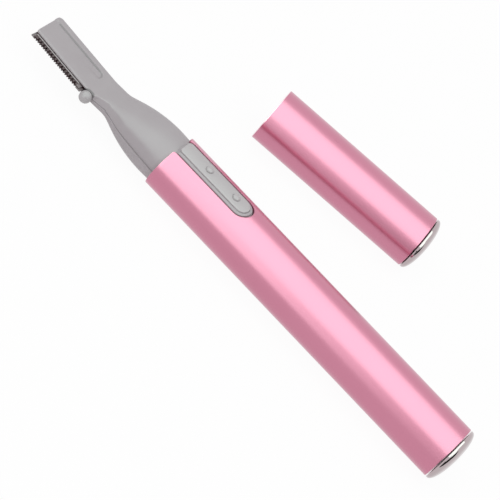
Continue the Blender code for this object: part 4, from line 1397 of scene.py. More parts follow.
@dataclass(frozen=True)
class HeadForm:
    """The outer form of the head: blade plate, waist, neck and the oval core inside the sleeve."""

    tube: Tube
    plate: Plate
    waist_reach: float = 0.0190
    waist_width: float = 0.0098
    waist_depth: float = 0.0042
    waist_power: float = 3.2
    plate_power: float = 12.0
    swell_power: float = 2.1
    swell_ease: float = 0.05
    facet: tuple[tuple[float, float, float, float], ...] = (
        (0.0246, 0.0057, 25.0, 0.00005),
        (0.0222, 0.0045, 25.0, 0.00005),
        (0.0195, 0.0041, 24.0, 0.00007),
        (0.0165, 0.0050, 18.0, 0.00012),
        (0.0130, 0.0063, 11.0, 0.00030),
        (0.0088, 0.0070, 8.0, 0.00060),
        (0.0000, 0.0079, 6.0, 0.00080),
    )
    facet_fade: float = 0.0016
    ring_points: int = 200
    dense_points: int = 720
    plate_step: float = 0.00022
    neck_step: float = 0.00050
    blur: float = 0.0010
    blur_samples: int = 7
    tip_steps: tuple[float, ...] = (0.0, 0.02, 0.07, 0.16, 0.30, 0.45, 0.65, 0.90, 1.15, 1.5)

    def neck(self, ahead: float) -> Triple:
        """Size the neck's section.

        Args:
            ahead: Distance ahead of the mouth.

        Returns:
            Its half width, half depth and boxiness.
        """
        share = 1.0 - ahead / self.waist_reach
        eased = share * share / (share + self.swell_ease) * (1.0 + self.swell_ease)
        swell = 1.0 - (1.0 - eased) ** self.swell_power
        half_width = self.waist_width / 2 + (self.tube.core_width - self.waist_width / 2) * swell
        half_depth = self.waist_depth / 2 + (self.tube.core_depth - self.waist_depth / 2) * swell
        return half_width, half_depth, self.waist_power + (2.0 - self.waist_power) * share

    def plain_station(self, ahead: float) -> list[float]:
        """Size one section of the head.

        Args:
            ahead: Distance ahead of the mouth.

        Returns:
            The four coordinates of its plan line's two ends, its half depth and one over its boxiness.
        """
        plate = self.plate
        ahead = max(ahead, 0.0)
        if ahead <= self.waist_reach:
            half_width, half_depth, power = self.neck(ahead)
            return [-ahead, -half_width, -ahead, half_width, half_depth, 1.0 / power]
        if ahead >= plate.root:
            along = plate.root - ahead
            start = plate.length / 2
            lean = plate.slant / 2 * min(max((-along - start) / (plate.length - start), 0.0), 1.0)
            near = plate.out(along + lean, plate.near)
            far = plate.out(along - lean, plate.far)
            return [*near, *far, plate.depth / 2, 1.0 / self.plate_power]
        share = (ahead - self.waist_reach) / (plate.root - self.waist_reach)
        first = self.plain_station(self.waist_reach)
        last = self.plain_station(plate.root)
        return [a + (b - a) * share for a, b in zip(first, last)]

    def station(self, ahead: float) -> list[float]:
        """Average nearby sections, so that the lines of the plate flow into the neck.

        Args:
            ahead: Distance ahead of the mouth.

        Returns:
            What plain_station gives.
        """
        reach = min(self.blur, ahead / 2)
        half = self.blur_samples // 2
        rows = [self.plain_station(ahead + reach * step / half) for step in range(-half, half + 1)]
        return [sum(column) / len(rows) for column in zip(*rows)]

    def ring(self, ahead: float, faceted: bool, from_tip: float = FAR) -> list[Vector]:
        """Return one section of the head.

        Args:
            ahead: Distance ahead of the mouth; below zero it lies inside the sleeve.
            faceted: Give it the facet on the blade side.
            from_tip: Distance from the tip's line, where the corners and the edge are rounded.

        Returns:
            Evenly spaced points, from the blade side over the top.
        """
        plate = self.plate
        if ahead <= 0.0:
            ends = [-ahead, -self.tube.core_width, -ahead, self.tube.core_width]
            half_depth, power = self.tube.core_depth, 2.0
        else:
            *ends, half_depth, inverse = self.station(ahead)
            power = 1.0 / inverse
        near, far = Vector(ends[:2]), Vector(ends[2:])
        across = (far - near).normalized()
        shrink = rounding(from_tip, plate.edge)
        near += across * (rounding(from_tip, plate.tip_small_radius) + shrink)
        far -= across * (rounding(from_tip, plate.tip_radius) + shrink)
        middle, half = (near + far) / 2, (far - near).length / 2
        depth = half_depth - shrink
        dense = []
        for index in range(self.dense_points):
            turn = math.pi - index * math.tau / self.dense_points
            side, height = boxed(turn, power)
            spot = middle + across * (half * side)
            dense.append(Vector((spot.x, spot.y, depth * height)))
        if faceted and 0.0 <= ahead <= self.facet[0][0]:
            self.cut_facet(dense, ahead)
        points = even_points(dense, self.ring_points)
        if ahead > self.waist_reach:
            for point in points:
                if point.z > 0.0:
                    top = min(point.z / depth, 1.0) ** plate.dish_power
                    point.z -= plate.dish(*plate.back(point.x, point.y)) * top
        return points

    def cut_facet(self, points: list[Vector], ahead: float) -> None:
        """Press the points beyond the blade side's facet back onto it.

        Args:
            points: Points of one section, which are moved.
            ahead: Its distance ahead of the mouth.
        """
        offset, degrees, softness = between(self.facet, ahead)
        lean = math.radians(degrees)
        outward = Vector((0.0, -math.cos(lean), math.sin(lean)))
        for point in points:
            if point.y >= 0.0 or point.z <= -self.facet_fade:
                continue
            beyond = outward.y * point.y + outward.z * point.z - offset
            press = (beyond + math.hypot(beyond, softness)) / 2
            press *= smooth_step(-self.facet_fade, -self.facet_fade / 2, point.z)
            point -= outward * press

    def rings(self, faceted: bool, front: float, end: float) -> list[list[Vector]]:
        """Return the sections from a front place to an end inside the sleeve.

        Args:
            faceted: Give them the facet on the blade side.
            front: Distance ahead of the mouth where they start.
            end: X inside the sleeve where they stop.

        Returns:
            Rings from the front to the end.
        """
        plate = self.plate
        tip = plate.root + plate.length
        rows = []
        if front >= tip:
            gaps = [step * MILLIMETRE for step in self.tip_steps]
            rows = [self.ring(tip - gap, faceted, gap) for gap in gaps]
            front = tip - gaps[-1] - self.plate_step
        ahead = front
        while ahead > self.neck_step / 2:
            rows.append(self.ring(ahead, faceted))
            ahead -= self.plate_step if ahead > self.waist_reach else self.neck_step
        rows.append(self.ring(0.0, faceted))
        rows.append(self.ring(-self.neck_step * 2, False))
        rows.append(self.ring(-end, False))
        return rows


def arc(x: float, y: float, radius: float, first: float, last: float, count: int) -> Plan:
    """Plan points along part of a circle.

    Args:
        x: X of its centre.
        y: Y of its centre.
        radius: Its radius.
        first: Angle of the first point.
        last: Angle of the last point.
        count: How many points.

    Returns:
        The points.
    """
    points = []
    for index in range(count):
        turn = first + (last - first) * index / (count - 1)
        points.append((x + radius * math.cos(turn), y + radius * math.sin(turn)))
    return points


def full_circle(x: float, y: float, radius: float, count: int) -> Plan:
    """Plan points round a whole circle."""
    return arc(x, y, radius, 0.0, math.tau, count + 1)[:-1]


def stadium(
    half: float, start: float, end: float, corner: float, room: float, sides: int, front: int
) -> Plan:
    """Plan of a strip with a round back and a front with small corners.

    Args:
        half: Half of its width.
        start: X of its front.
        end: X of its back.
        corner: Radius of the front corners.
        room: How far the outline lies inside those sizes.
        sides: Points along each side.
        front: Points along the front.

    Returns:
        The outline, from the front's middle round and back, in mirrored order.
    """
    half -= room
    radius = max(corner - room, half * LEAST_CORNER)
    start += room
    back = end - room - half
    straight = half - radius
    points = [(start, straight * (index + 0.5) / front) for index in range(front)]
    points += arc(start + radius, straight, radius, math.pi, math.pi / 2, CORNER_POINTS)
    first = start + radius
    points += [(first + (back - first) * index / sides, half) for index in range(1, sides)]
    points += arc(back, 0.0, half, math.pi / 2, math.pi / 2 / BACK_POINTS, BACK_POINTS)
    return points + [(x, -y) for x, y in reversed(points)]


@dataclass(frozen=True)
class Strip:
    """The tongue that fills the slot, and the thumb slide in its sunk track."""

    tube: Tube
    gap: float = 0.00048
    seat: float = 0.0003
    fit: float = 0.00012
    lift: float = 0.0001
    tongue_start: float = 0.0003
    tongue_raise: float = 0.0008
    tongue_ramp: float = 0.0010
    tongue_lip: float = 0.0001
    border: float = 0.0007
    track_depth: float = 0.00025
    edge: float = 0.00016
    pad_start: float = 0.0007
    pad_corner: float = 0.0008
    pad_thickness: float = 0.00045
    pad_travel: float = 0.0015
    pad_edge: float = 0.00022
    bumps: tuple[float, ...] = (0.0091, 0.0184)
    bump_radius: float = 0.00115
    bump_rise: float = 0.0006
    bump_root: float = 0.0003
    bump_foot_shade: float = 0.30
    stem_centre: float = 0.0198
    stem_length: float = 0.0014
    stem_width: float = 0.0012
    foot: float = 0.6
    rim_shares: tuple[float, ...] = (0.0, 0.08, 0.25, 0.55, 1.0)
    core_share: float = 0.97
    side_points: int = 70
    front_points: int = 8
    tongue_loops: int = 9
    track_loops: int = 8
    pad_loops: int = 13
    bump_steps: int = 7
    bump_points: int = 40
    foot_shade_from: float = 0.8
    foot_shade_to: float = 1.02

    @property
    def pad_half(self) -> float:
        """Half of the slide's width."""
        return self.tube.slot_half - self.gap - self.border - self.fit

    @property
    def pad_end(self) -> float:
        """X of the slide's round back."""
        return self.tube.slot_end - self.gap - self.border - self.fit

    @property
    def pad_low(self) -> float:
        """How far the slide's underside stands over the housing's oval."""
        return self.tongue_raise - self.track_depth + self.lift

    def loops(
        self, half: float, start: float, end: float, corner: float, edge: float, count: int
    ) -> list[tuple[float, Plan]]:
        """Nest outlines of a strip, closest together at its rounded rim.

        Args:
            half: Half of its width.
            start: X of its front.
            end: X of its back.
            corner: Radius of its front corners.
            edge: How far in the rounding reaches.
            count: How many outlines lie inside the rounding.

        Returns:
            The outlines, each with its distance from the rim.
        """
        sides, front = self.side_points, self.front_points
        rim = [edge * share for share in self.rim_shares]
        left = half * self.core_share - edge
        inner = [edge + left * step / count for step in range(1, count + 1)]
        return [(room, stadium(half, start, end, corner, room, sides, front)) for room in [*rim, *inner]]

    def tongue(self, shop: Workshop) -> Piece:
        """Make the tongue, with a ramp at its front and a rounded rim.

        Args:
            shop: The workshop.

        Returns:
            The tongue.
        """
        half = self.tube.slot_half - self.gap
        end = self.tube.slot_end - self.gap
        low = self.tube.core_depth * self.foot
        climb = self.tongue_raise - self.tongue_lip

        def top(x: float, y: float, inset: float) -> float:
            """Return the height of the tongue's face."""
            rise = self.tongue_lip + climb * smooth_step(0.0, self.tongue_ramp, x - self.tongue_start)
            return self.tube.crown(y, rise) - rounding(inset, self.edge)

        loops = self.loops(half, self.tongue_start, end, self.edge, self.edge, self.tongue_loops)
        return shop.slab("tongue", loops, lambda x, y, inset: low, top)

    def track(self, shop: Workshop) -> Piece:
        """Make the tool for the sunk track that the slide runs in.

        Args:
            shop: The workshop.

        Returns:
            The tool.
        """
        start = self.pad_start - self.pad_travel - self.fit
        floor = self.tongue_raise - self.track_depth
        half, end, corner = [size + self.fit for size in (self.pad_half, self.pad_end, self.pad_corner)]
        loops = self.loops(half, start, end, corner, self.edge, self.track_loops)
        high = self.tube.depth
        return shop.slab(
            "track", loops, lambda x, y, inset: self.tube.crown(y, floor), lambda x, y, inset: high
        )

    def stem_slot(self, shop: Workshop) -> Piece:
        """Make the tool for the slot that the slide's stem runs in.

        Args:
            shop: The workshop.

        Returns:
            The tool.
        """
        start = self.stem_centre - self.stem_length / 2 - self.pad_travel - self.seat
        end = self.stem_centre + self.stem_length / 2 + self.seat
        side = self.stem_width / 2 + self.seat
        return shop.block("stem_slot", (start, -side, 0.0), (end, side, self.tube.depth))

    def bump(self, shop: Workshop, x: float, base: float) -> Piece:
        """Make one round thumb bump on the slide's face.

        Args:
            shop: The workshop.
            x: Its place along the slide.
            base: Height of the face.

        Returns:
            The bump.
        """
        rings = []
        for step in range(-1, self.bump_steps):
            turn = math.pi / 2 * max(step, 0) / self.bump_steps
            radius = self.bump_radius * math.cos(turn)
            height = base + self.bump_rise * math.sin(turn) if step >= 0 else base - self.bump_root
            rings.append(raised(full_circle(x, 0.0, radius, self.bump_points), height))
        return shop.loft("bump", rings)

    def pad(self, shop: Workshop, look: Look) -> None:
        """Make the thumb slide with its bumps and its stem.

        Args:
            shop: The workshop.
            look: Its material.
        """
        high = self.pad_low + self.pad_thickness

        def top(x: float, y: float, inset: float) -> float:
            """Return the height of the slide's face."""
            return self.tube.crown(y, high) - rounding(inset, self.pad_edge)

        def bottom(x: float, y: float, inset: float) -> float:
            """Return the height of its underside."""
            return self.tube.crown(y, self.pad_low)

        loops = self.loops(
            self.pad_half, self.pad_start, self.pad_end, self.pad_corner, self.pad_edge, self.pad_loops
        )
        piece = shop.slab("thumb_slide", loops, bottom, top)
        side = self.stem_width / 2
        reach = self.tube.core_depth - self.tube.core_wall - self.seat
        stem_top = self.tube.core_depth + high - self.pad_thickness / 2
        front, back = self.stem_centre - self.stem_length / 2, self.stem_centre + self.stem_length / 2
        stem = shop.block("stem", (front, -side, reach), (back, side, stem_top))
        shop.carve(piece, stem, Operation.JOIN)
        for place in self.bumps:
            face = self.tube.core_depth + high - self.bump_radius**2 / self.tube.width / 2
            shop.carve(piece, self.bump(shop, place, face), Operation.JOIN)
        # Painted shade round the foot of the bumps.
        shop.mark(piece, "shade", self.foot_shade)
        shop.hand_over(piece, Body.SWITCH, Slot.GREY, ["switch_pad"], look=look)

    def foot_shade(self, centre: Vector, normal: Vector) -> float:
        """Return how much painted shade darkens the foot of the bumps.

        Args:
            centre: Place of the face.
            normal: Its direction.

        Returns:
            The painted shade's share there.
        """
        nearest = min(math.hypot(centre.x - place, centre.y) for place in self.bumps)
        on_side = self.bump_radius * self.foot_shade_from < nearest < self.bump_radius * self.foot_shade_to
        return self.bump_foot_shade if on_side and normal.z > 0.0 and centre.z > self.tube.core_depth else 0.0


@dataclass(frozen=True)
class Catch:
    """The round knob beside the blade's root."""

    plate: Plate
    radius: float = 0.00164
    ahead: float = 0.00055
    proud: float = 0.00115
    shank: float = 0.0012
    shank_depth: float = 0.0008
    shank_length: float = 0.0026
    fit: float = 0.0001
    seat: float = 0.00012
    ball_points: int = 40
    recess_points: int = 32

    @property
    def spot(self) -> Pair:
        """The knob's place on the plate."""
        return (-self.ahead, self.plate.near - self.proud)

    def ball(self, shop: Workshop, name: str, radius: float, points: int) -> Piece:
        """Turn a ball about its upright axis, with small flats at its poles.

        Args:
            shop: The workshop.
            name: Name of the piece.
            radius: Its radius.
            points: Points round it.

        Returns:
            The ball.
        """
        x, y = self.plate.out(*self.spot)
        rings = []
        steps = points // 2
        for step in range(1, steps):
            turn = math.pi * step / steps - math.pi / 2
            size, height = radius * math.cos(turn), radius * math.sin(turn)
            rings.append(raised(full_circle(x, y, size, points), height))
        return shop.loft(name, rings)

    def shank_block(self, shop: Workshop, name: str, room: float) -> Piece:
        """Make the shank from the ball into the plate.

        Args:
            shop: The workshop.
            name: Name of the piece.
            room: How much larger each side is made.

        Returns:
            The shank.
        """
        half = self.shank / 2 + room
        x, y = self.spot
        inner = y + self.shank_length + room
        outline = self.plate.plan([(x - half, y), (x + half, y), (x + half, inner), (x - half, inner)])
        height = self.shank_depth / 2 + room
        return shop.prism(name, outline, -height, height)

    def build(self, shop: Workshop) -> None:
        """Make the knob with its shank.

        Args:
            shop: The workshop.
        """
        piece = self.ball(shop, "comb_catch_knob", self.radius, self.ball_points)
        shop.carve(piece, self.shank_block(shop, "shank", 0.0), Operation.JOIN)
        shop.hand_over(piece, Body.HOUSING, Slot.PALE, ["comb_catch"])


@dataclass(frozen=True)
class Drive:
    """Where the lever's pivot stands and the rod runs, for the hollows of the head."""

    plate: Plate
    crank_front: float = 0.0010
    fork_overlap: float = 0.0018
    arm: float = 0.0060
    output: float = 0.0038
    rod_aside: float = 0.0013
    rod_width: float = 0.0009
    pin_radius: float = 0.00075
    pin_length: float = 0.0070
    pin_fit: float = 0.00015
    boss_radius: float = 0.0017
    hub_low: float = 0.00055
    hub_high: float = 0.00175
    seat: float = 0.0003
    channel_end: float = 0.0020
    bore_points: int = 24
    boss_points: int = 32

    @property
    def pivot(self) -> Pair:
        """Find where the pivot stands.

        Returns:
            Its place in plan.
        """
        yaw = self.plate.yaw
        x = self.crank_front + self.fork_overlap / 2 - self.arm
        reach = (x + self.plate.root + self.rod_aside * math.sin(yaw)) / math.cos(yaw)
        return x, self.output - reach * math.sin(yaw) - self.rod_aside * math.cos(yaw)

    def channel(self, shop: Workshop, waist: float) -> Piece:
        """Make the tool for the rod's passage between the neck and the plate.

        Args:
            shop: The workshop.
            waist: Distance from the mouth to the waist.

        Returns:
            The tool.
        """
        plate = self.plate
        side = self.rod_width / 2 + self.seat * 2
        low, high = -self.rod_aside - side, -self.rod_aside + side
        front, back = -self.channel_end, waist / 2
        outline = [(front, low), (back, low), (back, high), (front, high)]
        return shop.prism("rod_channel", plate.plan(outline), -plate.level, plate.level)

    def bore(self, shop: Workshop) -> Piece:
        """Make the tool for the two blind holes of the pivot pin.

        Args:
            shop: The workshop.

        Returns:
            The tool.
        """
        x, y = self.pivot
        half = self.pin_length / 2 + self.seat
        outline = full_circle(x, y, self.pin_radius + self.pin_fit, self.bore_points)
        return shop.prism("pivot_bore", outline, -half, half)

    def boss(self, shop: Workshop, side: float, wall_height: float) -> Piece:
        """Make the post that carries the pin on one side of the hub.

        Args:
            shop: The workshop.
            side: 1 above the hub and -1 below it.
            wall_height: Distance of the neck's wall from the axis.

        Returns:
            The post.
        """
        x, y = self.pivot
        near = self.hub_low - self.seat if side < 0.0 else self.hub_high + self.seat
        ends = sorted((side * wall_height, near))
        return shop.prism("boss", full_circle(x, y, self.boss_radius, self.boss_points), *ends)


@dataclass(frozen=True)
class Head:
    """The two grey mouldings: blade plate, neck, tongue, motor bay and battery trough."""

    form: HeadForm
    strip: Strip
    catch: Catch
    drive: Drive
    seam: float = 0.00008
    upper_length: float = 0.0270
    neck_wall: float = 0.0011
    bay_end: float = 0.0262
    end_wall: float = 0.0030
    cell_radius: float = 0.0055
    cell_bay_start: float = 0.0282
    strap_aside: float = 0.00625
    strap_half: float = 0.00035
    strap_low: float = -0.0021
    strap_turn: float = 0.0009
    window_low: float = 0.0034
    window_high: float = 0.0043
    window_half: float = 0.0015
    boss_sink: float = 0.7
    step_dark: float = 0.42
    # Painted shade round the knob's foot, and how far out it reaches.
    knob_shade: float = 0.75
    knob_shade_reach: float = 0.0003
    chamber_start: float = 0.06
    chamber_steps: int = 12
    chamber_points: int = 64
    bay_overlap: float = 0.0004
    trough_points: int = 72
    crease: float = 48.0
    least_up: float = 0.3
    level_up: float = 0.98
    tilted_up: float = 0.90

    def hollows(self, shop: Workshop) -> list[Piece]:
        """Make the tools for every hollow that the two mouldings share.

        Args:
            shop: The workshop.

        Returns:
            The tools.
        """
        form, tube = self.form, self.form.tube
        rings = []
        for index in range(self.chamber_steps + 1):
            ahead = form.waist_reach * (1.0 - self.chamber_start) * (1.0 - index / self.chamber_steps)
            half_width, half_depth, power = form.neck(ahead)
            wide, deep = half_width - self.neck_wall, half_depth - self.neck_wall
            ring = []
            for point in range(self.chamber_points):
                side, height = boxed((point + 0.5) * math.tau / self.chamber_points, power)
                ring.append(Vector((-ahead, wide * side, deep * height)))
            rings.append(ring)
        bay_width, bay_depth = tube.core_width - tube.core_wall, tube.core_depth - tube.core_wall
        bay = [tube.ring(x, bay_width, bay_depth) for x in (-self.bay_overlap, self.bay_end)]
        catch = self.catch
        return [
            shop.loft("neck_chamber", rings),
            shop.loft("motor_bay", bay),
            self.drive.channel(shop, form.waist_reach),
            catch.ball(shop, "knob_recess", catch.radius + catch.seat, catch.recess_points),
            catch.shank_block(shop, "shank_slot", catch.fit),
        ]

    def zone(self, shop: Workshop, root: float, side: float, low: float, high: float) -> Piece:
        """Make a block over the blade plate up to a root line and a side line."""
        outline = self.form.plate.plan([(-FAR, -FAR), (-root, -FAR), (-root, side), (-FAR, side)])
        return shop.prism("zone", outline, low, high)

    def blade_room(self, shop: Workshop) -> Piece:
        """Make the tool for the bed of the blades, open along the teeth and below.

        Args:
            shop: The workshop.

        Returns:
            The tool.
        """
        plate = self.form.plate
        tip_wall = -plate.length + plate.slant
        back = plate.near - plate.comb_reach + plate.comb_back + self.strip.seat
        side = plate.spine_edge - self.strip.fit
        outline = [(-FAR, -FAR), (-plate.pocket, -FAR), (-plate.pocket, side)]
        outline += [(tip_wall, side), (tip_wall, back), (-FAR, back)]
        return shop.prism("blade_room", plate.plan(outline), -FAR / 2, plate.level)

    def boss_height(self) -> float:
        """Return how far up the neck's wall the pivot's bosses reach."""
        return self.form.neck(-self.drive.pivot[0])[1] - self.neck_wall * self.boss_sink

    def hollow_out(self, shop: Workshop, piece: Piece, hollows: Sequence[Piece], side: float) -> None:
        """Cut the shared hollows into a moulding and give it its half of the pivot's mount.

        Args:
            shop: The workshop.
            piece: The moulding.
            hollows: The shared tools.
            side: 1 for the upper moulding and -1 for the lower.
        """
        for tool in hollows:
            shop.carve(piece, tool, Operation.CUT, keep=True)
        shop.carve(piece, self.drive.boss(shop, side, self.boss_height()), Operation.JOIN)
        shop.carve(piece, self.drive.bore(shop), Operation.CUT)

    def upper(self, shop: Workshop, hollows: Sequence[Piece]) -> None:
        """Make the upper moulding: plate, neck face and tongue.

        Args:
            shop: The workshop.
            hollows: The shared tools.
        """
        plate = self.form.plate
        tip = plate.root + plate.length
        piece = shop.loft("upper_moulding", self.form.rings(True, tip, self.upper_length))
        root = plate.pocket + self.seam / 2
        behind = [*plate.plan([(-root, FAR), (-root, -FAR)]), (FAR, -FAR), (FAR, FAR)]
        shop.carve(piece, shop.prism("below", behind, -FAR, self.seam / 2), Operation.CUT)
        under = -plate.level + self.seam / 2
        shop.carve(piece, self.zone(shop, plate.pocket, plate.spine_edge, -FAR, under), Operation.CUT)
        shop.carve(piece, self.blade_room(shop), Operation.CUT)
        shop.carve(piece, self.strip.tongue(shop), Operation.JOIN)
        self.hollow_out(shop, piece, hollows, 1.0)
        shop.carve(piece, self.strip.track(shop), Operation.CUT)
        shop.carve(piece, self.strip.stem_slot(shop), Operation.CUT)
        low = (self.bay_end - self.strip.seat, -self.window_half, self.window_low)
        high = (self.cell_bay_start, self.window_half, self.window_high)
        shop.carve(piece, shop.block("window", low, high), Operation.CUT)
        # Painted shade on the step beside the raised band and round the knob's foot.
        shop.mark(piece, "shade", self.step_shade, smooth=True)
        shop.hand_over(piece, Body.HOUSING, Slot.GREY, ["upper_housing"], self.crease)

    def step_shade(self, centre: Vector, normal: Vector) -> float:
        """Paint shade on the step beside the raised band and round the knob.

        Args:
            centre: A point of the moulding.
            normal: Its direction.

        Returns:
            How dark it is there.
        """
        plate = self.form.plate
        x, y = plate.back(centre.x, centre.y)
        knob_x, knob_y = self.catch.spot
        from_knob = math.hypot(x - knob_x, y - knob_y) - self.catch.radius
        if from_knob < self.knob_shade_reach:
            return self.knob_shade
        beside = -plate.dish_corner * 2 < y - plate.spine_edge < plate.spine / 2
        along = -plate.length + plate.tip_radius < x < 0.0
        on_top = centre.z > plate.level and normal.z > self.least_up
        if not (beside and along and on_top):
            return 0.0
        return self.step_dark * smooth_step(self.level_up, self.tilted_up, normal.z)

    def lower(self, shop: Workshop, hollows: Sequence[Piece], length: float) -> None:
        """Make the lower moulding: the back of the neck, the motor bay and the battery trough.

        Args:
            shop: The workshop.
            hollows: The shared tools.
            length: X of its far end.
        """
        plate = self.form.plate
        rings = self.form.rings(False, plate.root + plate.lower_start, length)
        piece = shop.loft("lower_moulding", rings)
        inner_end = length - self.end_wall
        shop.carve(piece, self.zone(shop, plate.pocket - self.seam, FAR, -FAR, FAR), Operation.CUT)
        above = shop.block("above", (-FAR, -FAR, -self.seam / 2), (inner_end + self.seam / 2, FAR, FAR))
        shop.carve(piece, above, Operation.CUT)
        self.hollow_out(shop, piece, hollows, -1.0)
        circle = full_circle(0.0, 0.0, self.cell_radius, self.trough_points)
        trough = [[Vector((x, y, z)) for y, z in circle] for x in (self.cell_bay_start, inner_end)]
        shop.carve(piece, shop.loft("trough", trough), Operation.CUT)
        near, far = self.strap_aside - self.strap_half, self.strap_aside + self.strap_half
        turn = inner_end - self.strap_turn
        start = self.bay_end - self.strip.seat
        groove = [(start, near), (turn, near), (turn, 0.0)]
        groove += [(inner_end, 0.0), (inner_end, far), (start, far)]
        shop.carve(piece, shop.prism("groove", groove, self.strap_low, FAR), Operation.CUT)
        shop.hand_over(piece, Body.HOUSING, Slot.GREY, ["lower_housing"], self.crease)


@dataclass(frozen=True)
class Blades:
    """The fixed comb and the moving cutter above it."""

    plate: Plate
    comb_start: float = 0.00255
    overhang: float = 0.0001
    gap_height: float = 0.0001
    depth: float = 0.00035
    comb_pitch: float = 0.0007
    comb_gap: float = 0.00035
    comb_tooth: float = 0.0009
    tip_end: float = 0.0013
    root_end: float = 0.0019
    cutter_setback: float = 0.0002
    cutter_back: float = 0.0042
    cutter_pitch: float = 0.0010
    cutter_gap: float = 0.00055
    cutter_tooth: float = 0.00072
    cutter_end: float = 0.0006
    taper: float = 0.7
    block_dark: float = 0.72
    lug_width: float = 0.0014
    lug_reach: float = 0.0009
    lug_inset: float = 0.0020
    carrier: float = 0.0110
    fit: float = 0.0002
    edge: float = 0.00003
    slit: float = -0.0001
    web: float = 0.00012
    web_back: float = 0.0003
    rod_end: float = 0.0030
    root_points: int = 5
    teeth_dark: float = 0.93
    flank: float = 0.5
    crease: float = 30.0

    def gaps(self, start: float, end: float, tip: float, pitch: float, gap: float, depth: float) -> Plan:
        """Plan points of the gaps along an edge, each with a round root.

        Args:
            start: Where the edge starts along the plate.
            end: Where it ends.
            tip: Place of the teeth's tips across the plate.
            pitch: Distance from tooth to tooth.
            gap: Width of one gap.
            depth: How far in a gap reaches.

        Returns:
            The points.
        """
        count = int((end - start - self.tip_end - self.root_end) / pitch) + 1
        floor = gap / 2 * self.taper
        points = []
        for index in range(count):
            centre = start + self.tip_end + gap / 2 + pitch * index
            root = arc(centre, tip + depth - floor / 2, floor, math.pi, 0.0, self.root_points)
            bowl = [(x, tip + depth - floor / 2 + (y - tip - depth + floor / 2) / 2) for x, y in root]
            points += [(centre - gap / 2, tip), *bowl, (centre + gap / 2, tip)]
        return points

    def paint_blade_shade(self, shop: Workshop, blade: Piece, tip: float, depth: float) -> None:
        """Mark painted shade on a blade: between and on its teeth, and under the plate.

        Args:
            shop: The workshop.
            blade: The blade.
            tip: Place of the teeth's tips across the plate.
            depth: Length of a tooth.
        """
        plate = self.plate
        first, last = -plate.length + self.tip_end, -self.comb_start - self.root_end + self.fit
        root, cover = tip + depth + self.edge, plate.near - self.slit
        along = Vector((math.cos(plate.yaw), -math.sin(plate.yaw), 0.0))
        across = Vector((math.sin(plate.yaw), math.cos(plate.yaw), 0.0))
        for place in ((first, 0), (last, 0), (0, root), (0, cover)):
            shop.score(blade, Vector((*plate.out(*place), 0.0)), along if place[0] else across)

        def rule(centre: Vector, normal: Vector) -> float:
            """Paint shade on one face.

            Args:
                centre: Its place.
                normal: Its direction.

            Returns:
                How dark it is.
            """
            x, y = plate.back(centre.x, centre.y)
            # Painted shade: black under the plate's edge, darker at the toothless ends, dark on the teeth
            # and in their gaps; the strip between teeth and plate stays bare.
            if y > cover:
                return 1.0
            if not first < x < last:
                return self.block_dark
            if y > root:
                return 0.0
            below = centre.z < -self.gap_height / 2 - self.edge * 2
            between_teeth = abs(normal.z) < self.flank and y > tip + self.edge
            return 1.0 if below or between_teeth else self.teeth_dark

        shop.mark(blade, "shade", rule)

    def build(self, shop: Workshop) -> None:
        """Make the two blades.

        Args:
            shop: The workshop.
        """
        plate = self.plate
        teeth = plate.near - plate.comb_reach
        end = -self.comb_start
        start = -plate.length + plate.slant / 2 - self.overhang
        back = teeth + plate.comb_back
        gaps = self.gaps(start, end, teeth, self.comb_pitch, self.comb_gap, self.comb_tooth)
        outline = [(end, back), (start, back), (start, teeth), *gaps, (end, teeth)]
        low = -self.gap_height / 2
        comb = shop.prism("fixed_comb", plate.plan(outline), low - self.depth, low)
        shop.soften(comb, self.edge, 1)
        front, behind = teeth + self.web_back, teeth + self.comb_tooth + self.fit
        inner, outer = start + self.tip_end / 2, end - self.root_end / 2
        web = [(outer, behind), (inner, behind), (inner, front), (outer, front)]
        floor = low - self.depth + self.edge * 2
        shop.carve(comb, shop.prism("web", plate.plan(web), floor, floor + self.web), Operation.JOIN)
        self.paint_blade_shade(shop, comb, teeth, self.comb_tooth)
        shop.hand_over(comb, Body.HOUSING, Slot.BLADE, ["comb_blade"], self.crease)
        tip = teeth + self.cutter_setback
        edge = tip + self.cutter_back
        first, last = end - self.cutter_end, start + self.cutter_end
        half, floor = self.lug_width / 2 + self.fit, edge - self.lug_reach
        notches: Plan = []
        for place in (-self.rod_end - self.lug_inset, -self.rod_end - self.carrier + self.lug_inset):
            right, left = place + half, place - half
            notches += [(right, edge), (right, floor), (left, floor), (left, edge)]
        gaps = self.gaps(last, first, tip, self.cutter_pitch, self.cutter_gap, self.cutter_tooth)
        outline = [(first, edge), *notches, (last, edge), (last, tip), *gaps, (first, tip)]
        cutter = shop.prism("moving_cutter", plate.plan(outline), -low, self.depth - low)
        shop.soften(cutter, self.edge, 1)
        self.paint_blade_shade(shop, cutter, tip, self.cutter_tooth)
        shop.hand_over(cutter, Body.CUTTER, Slot.BLADE, ["cutter_blade"], self.crease)


